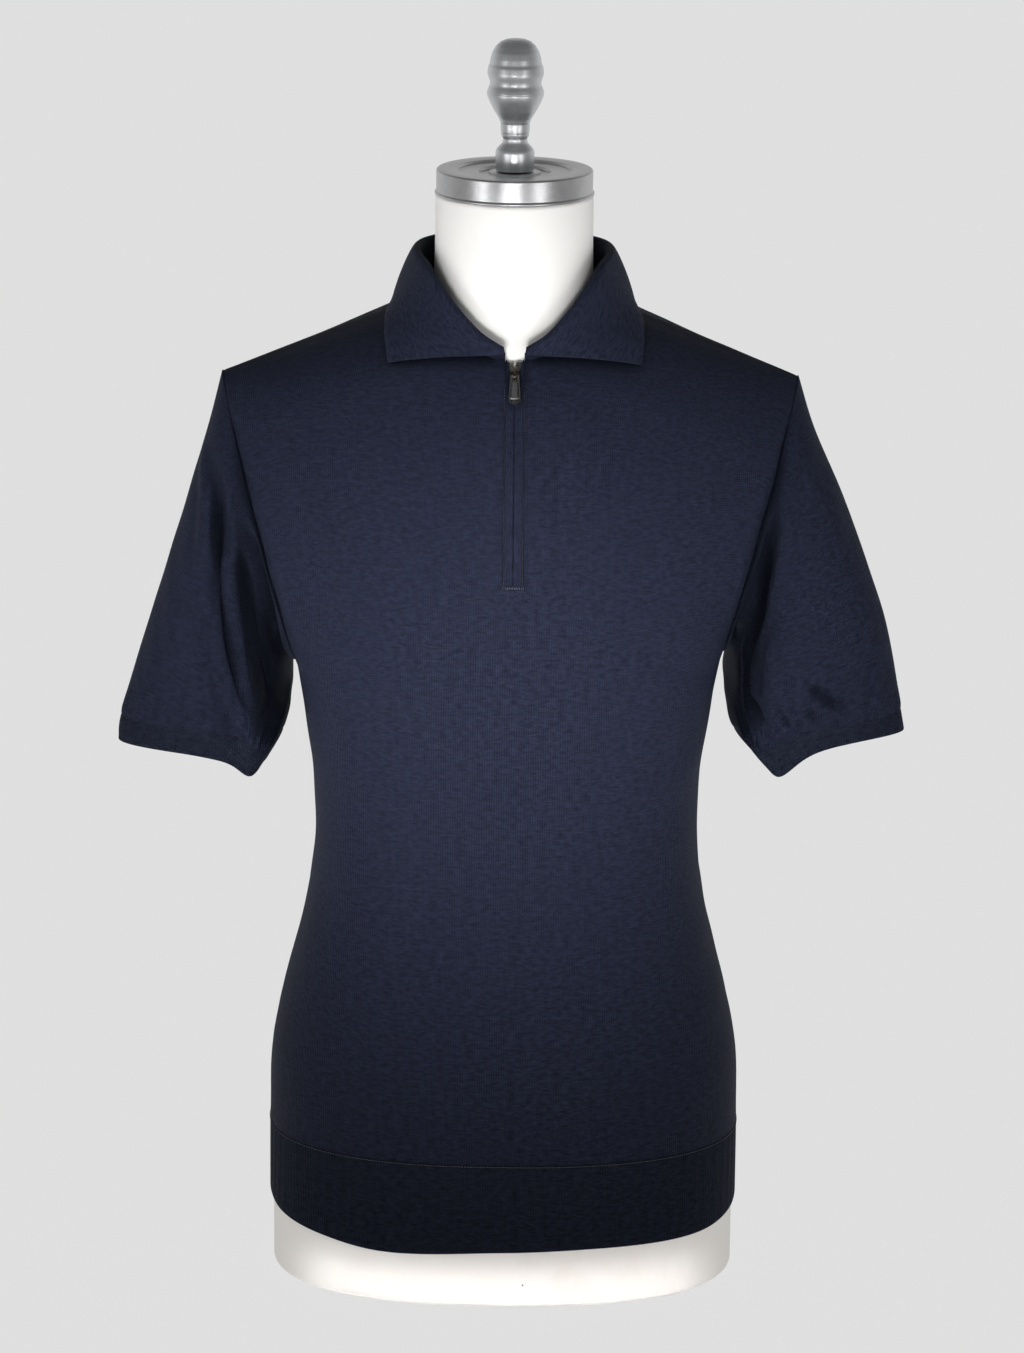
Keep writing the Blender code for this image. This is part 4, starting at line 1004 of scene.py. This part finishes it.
def form_material():
    made, tree, shader = new_material("form_shell_paint")
    place = shader_node(tree, "TexCoord").outputs["Object"]
    height = shader_node(tree, "SeparateXYZ", {"Vector": place}).outputs["Z"]
    low = shader_node(tree, "MapRange", {
        "Value": height, "From Min": 0.10, "From Max": 0.70, "To Min": 0.0, "To Max": 1.0}).outputs["Result"]
    paint = between(tree, low, (0.86, 0.83, 0.79), (0.90, 0.885, 0.865))
    stain = noise(tree, place, 22.0, (1.0, 1.0, 0.6), 6.0)
    stain = shader_node(tree, "MapRange", {
        "Value": stain, "From Min": 0.56, "From Max": 0.78, "To Min": 0.0, "To Max": 0.35}).outputs["Result"]
    mixed = shader_node(tree, "Mix", {"Factor": stain, "A": paint}, data_type="RGBA")
    mixed.inputs["B"].default_value = (0.70, 0.65, 0.56, 1.0)
    # a dark dot for a pin hole on the base: painted shade inside a hole that is not modelled
    from_pin = shader_node(tree, "VectorMath", {0: place, 1: (0.0159, -0.1180, 0.0180)}, operation="DISTANCE")
    pin_hole_shade = between(tree, spread_out(tree, from_pin.outputs["Value"], 0.0007, 0.0010), (0.10, 0.08, 0.06), (1.0, 1.0, 1.0))
    worn = shader_node(tree, "Mix", {"A": mixed.outputs["Result"], "B": pin_hole_shade}, data_type="RGBA", blend_type="MULTIPLY")
    worn.inputs["Factor"].default_value = 1.0
    tree.links.new(worn.outputs["Result"], shader.inputs["Base Color"])
    shader.inputs["Roughness"].default_value = 0.62
    shader.inputs["Specular IOR Level"].default_value = 0.3
    bump = shader_node(tree, "Bump", {
        "Height": noise(tree, place, 260.0, detail=4.0), "Distance": 0.0004, "Strength": 0.25})
    tree.links.new(bump.outputs["Normal"], shader.inputs["Normal"])
    return made


form_points = form_grid()
form = cloth_piece(form_points, form_points * (1, 1, 0), closed=True)
form_piece = build_mesh("form_shell", form, form_material())
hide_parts("form_torso")

# %% [markdown]
# ## Zip
# The zip is sewn behind two facings, narrow strips that fold in along the slit. Woven tapes carry the
# metal teeth, which are closed up to the slider and part above it. A flat strip is worked out from
# its cross section, a closed loop with a round edge, that is carried up the front's centre line.

# %% Facings and tapes
SLIT = 0.0001
PART_START, PART_RUN, PART_HALF = 0.7060, 0.0160, 0.0005
TAPE_HALF = 0.0095
CHAIN_HALF = 0.0031


def front_frame(z):
    """Points of the front's centre line, with the way up along it and the way out from it."""
    slope = (depth_at(-1, z + 0.002) - depth_at(-1, z - 0.002)) / 0.004
    up = unit(stack(0.0, -slope, 1.0))
    out = stack(0.0, -up[..., 2], up[..., 1])
    return stack(ZIP_X, -depth_at(-1, z) - GAP * 0.6, z), up, out


def parted(z):
    """Half the gap between the two rows of teeth, which part above the slider."""
    return PART_HALF * ease((z - PART_START) / PART_RUN)


def strip(name, side, inner, outer, heights, top, thick, looks, snug=0.0):
    """A closed strip beside the zip; inner and outer are its edges by height, top its lift."""
    base, _, out = front_frame(heights)
    half = thick / 2
    bend = np.linspace(-math.pi / 2, math.pi / 2, 7)
    flat_run = np.linspace(0.0, 1.0, 9)[1:-1]
    a, b = inner(heights)[:, None] + half, outer(heights)[:, None] - half
    across = np.concatenate([
        a - half * np.cos(bend), lerp(a, b, flat_run),
        b + half * (1.0 - 0.7 * snug) + half * (np.cos(bend) - 1.0) * (1.0 - 0.7 * snug), lerp(b, a, flat_run),
    ], axis=1)
    lift = np.concatenate([half * np.sin(bend), np.full(7, half), -half * np.sin(bend), np.full(7, -half)])
    lift = lift + top - half
    points = base[:, None] + across[..., None] * (side, 0.0, 0.0) + lift[:, None] * out[:, None]
    ends = points.mean(axis=1, keepdims=True)
    points = np.concatenate([lerp(points[:1], ends[:1], 0.98), points, lerp(points[-1:], ends[-1:], 0.98)])
    cloth = cloth_piece(points, points - points.mean(axis=1, keepdims=True), closed=True)
    return build_mesh(name, cloth, looks)


def weave_material():
    """A zip's tape: a tight herringbone of fine threads."""
    made, tree, shader = new_material("zip_tape_weave")
    flat = shader_node(tree, "UVMap", uv_map="knit").outputs["UV"]
    split = shader_node(tree, "SeparateXYZ", {"Vector": flat})
    zigzag = maths(tree, "PINGPONG", split.outputs["X"], 0.0012)
    thread = maths(tree, "SINE", maths(tree, "MULTIPLY", maths(tree, "ADD", split.outputs["Y"], zigzag), 9000.0))
    tree.links.new(between(tree, maths(tree, "MULTIPLY_ADD", thread, 0.4, 0.5), (0.008, 0.010, 0.018),
                           (0.020, 0.024, 0.040)), shader.inputs["Base Color"])
    shader.inputs["Roughness"].default_value = 0.75
    bump = shader_node(tree, "Bump", {"Height": thread, "Distance": 0.0001, "Strength": 0.5})
    tree.links.new(bump.outputs["Normal"], shader.inputs["Normal"])
    return made


weave = weave_material()
facing_heights = np.linspace(ZIP_BOTTOM + 2 * GAP, ZIP_TOP, 90)
tape_heights = np.linspace(ZIP_BOTTOM - 0.006, ZIP_TOP - 0.001, 90)
facings, tapes = {}, {}
for side, hand in ((-1, "left"), (1, "right")):
    facing = strip(
        "facing_knit_" + hand, side,
        lambda z: lerp(SLIT, 0.0028 + 0.0030 * ease((z - 0.7100) / 0.0120), ease((z - 0.7020) / 0.0070)),
        lambda z: np.full(z.shape, SLOT[-1] - 0.0001), facing_heights, 0.0002, 0.0012, jersey, snug=1.0)
    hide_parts("zip_facing_" + hand)
    facings[side] = facing
    tape = strip(
        "tape_weave_" + hand, side, lambda z: parted(z) + CHAIN_HALF + GAP,
        lambda z: np.full(z.shape, TAPE_HALF), tape_heights, -0.0021, 0.0007, weave)
    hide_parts("zip_tape_" + hand)
    tapes[side] = tape

# %% [markdown]
# ## Metal parts
# Teeth, slider and pull tab are stamped and tumbled metal, so every edge is rounded. They are built
# in the zip's own frame, x across, y up the front and z out from it, and then set in place. The
# slider's bridge is an arch that the tab's top bar runs through.

# %% Teeth, slider and pull tab
SLIDER_Z = 0.7085
AXIS_LIFT, AXIS_RISE = 0.0040, 0.0009
TOOTH_PITCH = 0.0014
TAB_LENGTH, TAB_TOP, TAB_TOP_HALF, TAB_END_HALF, TAB_WALL = 0.0212, 0.0007, 0.0034, 0.0045, 0.0013
REST_TILT = math.radians(5.0)


def metal_material(name, dark, light, roughness, grain):
    made, tree, shader = new_material(name)
    place = shader_node(tree, "TexCoord").outputs["Object"]
    worn = noise(tree, place, grain, detail=4.0)
    tree.links.new(between(tree, worn, dark, light), shader.inputs["Base Color"])
    shader.inputs["Metallic"].default_value = 1.0
    rough = shader_node(tree, "MapRange", {
        "Value": worn, "To Min": roughness - 0.06, "To Max": roughness + 0.08}).outputs["Result"]
    tree.links.new(rough, shader.inputs["Roughness"])
    return made


# The gunmetal is darker than the plating's own colour: partly its own dark finish, partly painted shade, so that the
# teeth read dark in the slit.
gunmetal_painted_dark = metal_material("gunmetal_teeth_painted_dark", (0.006, 0.0055, 0.004), (0.075, 0.066, 0.050), 0.34, 1100.0)
nickel = metal_material("satin_nickel", (0.028, 0.029, 0.030), (0.070, 0.070, 0.072), 0.30, 600.0)


def mesh_object(name, build, looks, body, bevel=0.0, segments=2):
    made = bmesh.new()
    build(made)
    bmesh.ops.recalc_face_normals(made, faces=made.faces)
    mesh = bpy.data.meshes.new(name)
    made.to_mesh(mesh)
    made.free()
    mesh.materials.append(looks)
    mesh.shade_smooth()
    piece = bpy.data.objects.new(name, mesh)
    bpy.context.scene.collection.objects.link(piece)
    if bevel:
        soft = piece.modifiers.new("soft_edges", "BEVEL")
        soft.width = bevel
        soft.segments = segments
        soft.angle_limit = math.radians(35.0)
        soft.harden_normals = False
    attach(piece, body)
    return piece


def prism(made, outline, low, high, frame=Matrix()):
    """A flat-ended block over an outline of x and y, between two heights, in a frame."""
    ends = [[made.verts.new(frame @ Vector((x, y, z))) for x, y in outline] for z in (low, high)]
    made.faces.new(ends[0])
    made.faces.new(ends[1])
    for k in range(len(outline)):
        n = (k + 1) % len(outline)
        made.faces.new((ends[0][k], ends[0][n], ends[1][n], ends[1][k]))


def zip_frame(z, lift=0.0, across=0.0, tilt=0.0, turn=0.0):
    """A frame on the front's centre line: x across, y up, z out."""
    base, up, out = (Vector(a) for a in front_frame(np.array(z)))
    axes = Matrix((Vector((1.0, 0.0, 0.0)), up, out)).transposed().to_4x4()
    return (Matrix.Translation(base + out * lift + Vector((across, 0.0, 0.0))) @ axes
            @ Matrix.Rotation(tilt, 4, "X") @ Matrix.Rotation(turn, 4, "Z"))


def teeth(side):
    def build(made):
        count = int((ZIP_TOP - ZIP_BOTTOM - 0.002) / TOOTH_PITCH)
        for k in range(count):
            z = ZIP_BOTTOM + 0.0014 + (k + (0.5 if side > 0 else 0.0)) * TOOTH_PITCH
            gap = float(parted(np.array(z)))
            lean = side * math.atan((float(parted(np.array(z + 0.001))) - gap) / 0.001)
            outline = [
                (-0.00025, -0.00028), (0.00050, -0.00036), (0.00080, -0.00052), (0.00310, -0.00052),
                (0.00310, 0.00052), (0.00080, 0.00052), (0.00050, 0.00036), (-0.00025, 0.00028),
            ]
            outline = [(side * x, y) for x, y in outline]
            frame = zip_frame(z, across=side * (gap + GAP / 2), turn=-lean)
            prism(made, outline, -0.0027, -0.0013, frame)
    return build


def slider(made):
    frame = zip_frame(SLIDER_Z)
    plate = [
        (-0.0024, -0.0043), (0.0024, -0.0043), (0.0029, -0.0038), (0.0030, -0.0010), (0.0037, 0.0012),
        (0.0037, 0.0034), (0.0030, 0.0042), (0.0009, 0.0042), (0.0, 0.0036), (-0.0009, 0.0042),
        (-0.0030, 0.0042), (-0.0037, 0.0034), (-0.0037, 0.0012), (-0.0030, -0.0010), (-0.0029, -0.0038),
    ]
    prism(made, plate, 0.0008, 0.0018, frame)
    inner = [(x * 0.72, y * 0.80) for x, y in plate]
    prism(made, inner, 0.0017, 0.0025, frame)
    prism(made, [(-0.0011, -0.0010), (0.0011, -0.0010), (0.0011, 0.0022), (-0.0011, 0.0022)], -0.0010, 0.0010, frame)
    bend = np.linspace(0.0, math.pi, 13)
    middle, foot, half = 0.0009, 0.0022, 0.0011
    rings = []
    for wide, tall in ((0.0027, 0.0039), (0.0019, 0.0031)):
        path = [(middle + wide * math.cos(a), foot + tall * math.sin(a) ** 0.7) for a in bend]
        rings.append([[made.verts.new(frame @ Vector((x, y, z))) for y, z in path] for x in (-half, half)])
    (outer_a, outer_b), (inner_a, inner_b) = rings
    for k in range(len(bend) - 1):
        for a, b in ((outer_a, outer_b), (inner_b, inner_a), (inner_a, outer_a), (outer_b, inner_b)):
            made.faces.new((a[k], b[k], b[k + 1], a[k + 1]))
    for k in (0, -1):
        made.faces.new((outer_a[k], outer_b[k], inner_b[k], inner_a[k]))


def tab_mesh(made):
    """A plate with a raised rim and a crescent recess; rows run down from the top bar."""
    frame = zip_frame(SLIDER_Z + AXIS_RISE, lift=AXIS_LIFT, tilt=REST_TILT)
    end = TAB_LENGTH - TAB_TOP
    straight = end - TAB_END_HALF
    down = np.concatenate([
        [-TAB_TOP, -TAB_TOP / 2, 0.0, 0.0006], np.linspace(0.0014, 0.0031, 4), [0.0039],
        np.linspace(0.0046, straight, 26),
        straight + TAB_END_HALF * np.sin(np.linspace(0.0, math.pi / 2, 22)[1:])])
    half = np.where(down < straight, lerp(TAB_TOP_HALF, TAB_END_HALF, np.clip(down / straight, 0, 1)),
                    np.sqrt(np.maximum(TAB_END_HALF ** 2 - (down - straight) ** 2, 4e-9)))
    half = half - 0.0006 * np.clip(1 - (down + TAB_TOP) / 0.0007, 0, 1) ** 2
    across = np.sin(np.linspace(-1.0, 1.0, 33) * math.pi / 2)
    across[[8, 24]] = -0.5, 0.5
    u, v = np.meshgrid(across, down)
    x = u * half[:, None]
    from_edge = np.minimum(half[:, None] - np.abs(x), np.maximum(end - v, 0.0))
    rim = lerp(0.00010, 0.00034, ease((v - straight + 0.001) / 0.003)) * ease((0.0009 - from_edge) / 0.0005)
    round_off = 0.0002 * (1 - ease(from_edge / 0.00035))
    bowl = np.sqrt((x / 0.0031) ** 2 + ((v - straight - 0.0006) / 0.0019) ** 2)
    shade = np.sqrt((x / 0.0034) ** 2 + ((v - straight + 0.0012) / 0.0022) ** 2)
    crescent = 0.00045 * (1 - ease((bowl - 0.75) / 0.3)) * ease((shade - 0.75) / 0.3)
    z = TAB_WALL / 2 + rim - round_off - crescent - 0.00015
    front = [[made.verts.new(frame @ Vector((a, -b, c))) for a, b, c in zip(*row)] for row in zip(x, v, z)]
    behind = [[made.verts.new(frame @ Vector((a, -b, -TAB_WALL / 2 + 0.0002 * (abs(c) > 0.99))))
               for a, b, c in zip(*row)] for row in zip(x, v, u)]
    rows, columns = x.shape
    def hole(j, i):
        return 3 <= j < 8 and 8 <= i < 24
    for j in range(rows - 1):
        for i in range(columns - 1):
            if hole(j, i):
                continue
            made.faces.new((front[j][i], front[j + 1][i], front[j + 1][i + 1], front[j][i + 1]))
            made.faces.new((behind[j][i], behind[j][i + 1], behind[j + 1][i + 1], behind[j + 1][i]))
            for dj, di, a, b in ((-1, 0, (j, i), (j, i + 1)), (1, 0, (j + 1, i), (j + 1, i + 1)),
                                 (0, -1, (j, i), (j + 1, i)), (0, 1, (j, i + 1), (j + 1, i + 1))):
                nj, ni = j + dj, i + di
                if hole(nj, ni) or not (0 <= nj < rows - 1 and 0 <= ni < columns - 1):
                    made.faces.new((front[a[0]][a[1]], front[b[0]][b[1]], behind[b[0]][b[1]], behind[a[0]][a[1]]))


for side, hand in ((-1, "left"), (1, "right")):
    row = mesh_object("teeth_row_" + hand, teeth(side), gunmetal_painted_dark, SHIRT, 0.00012, 1)
    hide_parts("zip_teeth_" + hand)
slider_piece = mesh_object("slider_body", slider, gunmetal_painted_dark, SHIRT, 0.00018)
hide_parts("zip_slider")
tab_piece = mesh_object("tab_plate", tab_mesh, nickel, "pull_tab", 0.00012, 2)
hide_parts("pull_tab")

# %% [markdown]
# ## Stitches
# The hem is linked to the panels with a chain of pale thread, loop by loop; the facings are sewn down
# along both sides of the slit, and a bar across its foot takes the strain. Each stitch is a short
# thread with rounded ends that bows a little out of the cloth.

# %% Stitches
def thread_material(name, dark, light):
    made, tree, shader = new_material(name)
    place = shader_node(tree, "TexCoord").outputs["Object"]
    tree.links.new(between(tree, noise(tree, place, 700.0), dark, light), shader.inputs["Base Color"])
    shader.inputs["Roughness"].default_value = 0.6
    return made


def stitches(name, places, ways, outs, length, radius, looks):
    """One short thread at each place, along its way; outs point out of the cloth."""
    t = np.linspace(-1.0, 1.0, 7)[:, None, None]
    turn = (np.arange(6) / 6 * 2 * math.pi)[:, None]
    ways, outs = unit(ways)[:, None, None], unit(outs)[:, None, None]
    size = radius * np.sqrt(np.maximum(1.0 - t ** 6, 0.02))
    middle = places[:, None, None] + ways * length / 2 * t + outs * radius * (1.0 - 1.2 * t ** 2)
    points = middle + size * (np.cos(turn) * outs + np.sin(turn) * np.cross(ways, outs))
    k, j, i = np.meshgrid(np.arange(len(places)) * 42, np.arange(6) * 6, np.arange(6), indexing="ij")
    n = (i + 1) % 6
    quads = np.stack([k + j + i, k + j + n, k + j + 6 + n, k + j + 6 + i], -1).reshape(-1, 4)
    mesh = bpy.data.meshes.new(name)
    mesh.from_pydata(points.reshape(-1, 3).tolist(), [], quads.tolist())
    mesh.materials.append(looks)
    mesh.shade_smooth()
    piece = bpy.data.objects.new(name, mesh)
    bpy.context.scene.collection.objects.link(piece)
    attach(piece, SHIRT)
    print(f"{name}: {len(places)} stitches")
    return piece


linking = thread_material("linking_thread", (0.012, 0.014, 0.022), (0.095, 0.100, 0.115))
sewing = thread_material("sewing_thread", (0.006, 0.007, 0.013), (0.015, 0.017, 0.028))

seam_turns = even_turns(hem_points, 420, 0.0)
seam = hem_points(seam_turns, [0.0])[0]
seam_way = np.roll(seam, -1, axis=0) - np.roll(seam, 1, axis=0)
seam_out = np.cross(seam_way, (0.0, 0.0, -1.0))
seam_out *= np.sign((seam_out * seam).sum(-1, keepdims=True))
hem_stitches = stitches("hem_link_stitches", seam, seam_way, seam_out, 0.0019, 0.00024, linking)

rows = np.arange(ZIP_BOTTOM + 0.001, 0.7050, 0.0022)
base, up, out = front_frame(rows)
edge_stitches = []
for side in (-1, 1):
    lean = side * 0.12 * (-1.0) ** np.arange(len(rows))
    beside = base + (side * SLOT[-1], 0.0, 0.0)
    edge_stitches.append((beside, up + lean[:, None] * (1.0, 0.0, 0.0), out))
places, ways, outs = (np.concatenate(part) for part in zip(*edge_stitches))
facing_stitches = stitches("facing_stitches", places, ways, outs, 0.0017, 0.00022, sewing)

bar_x = np.linspace(-0.0076, 0.0076, 13)
bars = [front_frame(np.full(len(bar_x), ZIP_BOTTOM - lower)) for lower in (0.0001, 0.0007)]
places, ways, outs = (np.concatenate(part) for part in zip(*(
    (middle + bar_x[:, None] * (1.0, 0.0, 0.0), up + (0.35, 0.0, 0.0), out) for middle, up, out in bars)))
bar_stitches = stitches("bar_tack_stitches", places, ways, outs, 0.0013, 0.00024, linking)

# %% [markdown]
# ## Cap and knob
# Both are turned on a lathe: one profile, spun round the neck's axis. Corners of the profile are cut
# by a fraction of a millimetre, and fine rings are left by the tool, which draw a lamp's reflection
# out into an upright bright band.

# %% Turned metal
# radius and height
CAP = (
    (0.0000, 0.8314), (0.0582, 0.8314), (0.0588, 0.8320), (0.0588, 0.8330), (0.0583, 0.8337),
    (0.0576, 0.8340), (0.0577, 0.8490), (0.0567, 0.8500), (0.0423, 0.8500), (0.0419, 0.8482),
    (0.0266, 0.8482), (0.0263, 0.8462), (0.0192, 0.8462), (0.0190, 0.8480), (0.0000, 0.8480),
)
KNOB = (
    (0.0000, 0.8489), (0.0143, 0.8489), (0.0143, 0.8625), (0.0136, 0.8645), (0.0120, 0.8664),
    (0.0097, 0.8688), (0.0090, 0.8705), (0.0089, 0.8726), (0.0097, 0.8736), (0.0102, 0.8752),
    (0.0104, 0.8764), (0.0100, 0.8767), (0.0104, 0.8770), (0.0107, 0.8800), (0.0107, 0.8834),
    (0.0104, 0.8837), (0.0109, 0.8840), (0.0120, 0.8872), (0.0157, 0.8932), (0.0184, 0.8985),
    (0.0199, 0.9017), (0.0207, 0.9040), (0.0210, 0.9060), (0.0207, 0.9064), (0.0209, 0.9068),
    (0.0200, 0.9096), (0.0190, 0.9118), (0.0188, 0.9134), (0.0192, 0.9156), (0.0203, 0.9186),
    (0.0208, 0.9206), (0.0204, 0.9232), (0.0200, 0.9256), (0.0190, 0.9276), (0.0185, 0.9315),
    (0.0170, 0.9362), (0.0144, 0.9406), (0.0110, 0.9436), (0.0066, 0.9452), (0.0000, 0.9456),
)
TURNED_SIDES = 128


def cut_corners(profile, cut, times=3):
    """Rounds a profile: each corner gives way to two points, no further off than cut."""
    points = np.array(profile, float)
    for _ in range(times):
        run = np.diff(points, axis=0)
        length = np.linalg.norm(run, axis=-1, keepdims=True)
        share = np.minimum(cut / length, 0.25)
        pairs = np.stack([points[:-1] + run * share, points[1:] - run * share], axis=1).reshape(-1, 2)
        points = np.concatenate([points[:1], pairs, points[-1:]])
        cut = cut / 2
    return points


def turned_material(name, dark, light, roughness):
    made, tree, shader = new_material(name)
    flat = shader_node(tree, "UVMap", uv_map="lathe").outputs["UV"]
    rings = noise(tree, flat, 1.0, (7.0, 2600.0, 1.0), 3.0)
    worn = noise(tree, shader_node(tree, "TexCoord").outputs["Object"], 60.0, detail=4.0)
    share = maths(tree, "MULTIPLY_ADD", rings, 0.6, maths(tree, "MULTIPLY", worn, 0.4))
    tree.links.new(between(tree, share, dark, light), shader.inputs["Base Color"])
    shader.inputs["Metallic"].default_value = 1.0
    rough = shader_node(tree, "MapRange", {
        "Value": worn, "To Min": roughness - 0.06, "To Max": roughness + 0.06}).outputs["Result"]
    tree.links.new(rough, shader.inputs["Roughness"])
    bump = shader_node(tree, "Bump", {"Height": rings, "Distance": 0.00008, "Strength": 0.55})
    tree.links.new(bump.outputs["Normal"], shader.inputs["Normal"])
    return made


def turned(name, profile, looks):
    points = np.array(profile)
    angle = np.arange(TURNED_SIDES + 1) / TURNED_SIDES * 2 * math.pi
    run = np.concatenate([[0.0], np.linalg.norm(np.diff(points, axis=0), axis=-1).cumsum()])
    mesh = bpy.data.meshes.new(name)
    made = bmesh.new()
    layer = made.loops.layers.uv.new("lathe")
    rings = [[made.verts.new((r * math.cos(a), r * math.sin(a), z)) for a in angle[:-1]]
             for r, z in points[1:-1]]
    ends = [made.verts.new((0.0, 0.0, z)) for _, z in (points[0], points[-1])]
    for k in range(TURNED_SIDES):
        n = (k + 1) % TURNED_SIDES
        loops_of = [((ends[0], 0), (rings[0][n], 1), (rings[0][k], 1)),
                    ((ends[1], -1), (rings[-1][k], -2), (rings[-1][n], -2))]
        for j in range(len(rings) - 1):
            loops_of.append(((rings[j][k], j + 1), (rings[j][n], j + 1), (rings[j + 1][n], j + 2), (rings[j + 1][k], j + 2)))
        for corners in loops_of:
            face = made.faces.new([vert for vert, _ in corners])
            for corner, (vert, row) in zip(face.loops, corners):
                wide = angle[k + 1] if vert in (rings[0][n], rings[-1][n]) or (len(corners) == 4 and vert is corners[1][0] or vert is corners[2][0]) else angle[k]
                corner[layer].uv = (wide, run[row])
    made.to_mesh(mesh)
    made.free()
    mesh.materials.append(looks)
    mesh.shade_smooth()
    piece = bpy.data.objects.new(name, mesh)
    piece.location = (NECK_X, NECK_Y, 0.0)
    bpy.context.scene.collection.objects.link(piece)
    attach(piece, SHIRT)
    return piece


cap_steel = turned_material("turned_steel", (0.32, 0.32, 0.33), (0.76, 0.76, 0.77), 0.34)
# The knob's steel is the cap's painted lighter: painted light, for the brighter bands that the knob shows.
knob_steel_painted_lighter = turned_material("cast_steel_painted_lighter", (0.42, 0.43, 0.45), (0.97, 0.98, 1.0), 0.38)
cap_piece = turned("neck_cap", cut_corners(CAP, 0.0003, 2), cap_steel)
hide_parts("form_neck_cap")
knob_piece = turned("neck_knob", cut_corners(KNOB, 0.0005, 2), knob_steel_painted_lighter)
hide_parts("form_knob")

# %% [markdown]
# ## What each piece was cut to
# Every sheet's flat cut is listed with its size, measured along its own surface before it was hung on the
# form. The panels, the hem and the cuffs are stretched by a few per cent over the form or round the arm's place; the
# collar is folded, and the stitches are listed with the piece that they lie on. The function that takes these
# lists does nothing with them.

# %% Cuts and finishes
def cut(piece, slot, flat, held, rests_on, area=None, with_pieces=()):
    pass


cut(front_piece, "navy_jersey", (0.58, 0.72), "stretched", [form_piece], 0.277, [facing_stitches, bar_stitches])
cut(back_piece, "navy_jersey", (0.58, 0.76), "stretched", [form_piece], 0.291)
cut(hem_piece, "navy_rib", (0.93, 0.080), "stretched", [form_piece, front_piece, back_piece], None, [hem_stitches])
for side, hand in ((-1, "left"), (1, "right")):
    cut(sleeve_pieces[side], "navy_jersey", (0.40, 0.24), "hung", [front_piece, back_piece], 0.062)
    cut(cuff_pieces[side], "navy_rib", (0.300, 0.039), "hung", [sleeve_pieces[side]])
    cut(facings[side], "navy_jersey", (0.0116, 0.163), "folded", [front_piece], 0.0011)
    cut(tapes[side], "zip_tape", (0.0130, 0.170), "stretched", [facings[side]], 0.0011)
cut(collar_piece, "navy_rib", (0.50, 0.100), "folded", [front_piece, back_piece], 0.040)
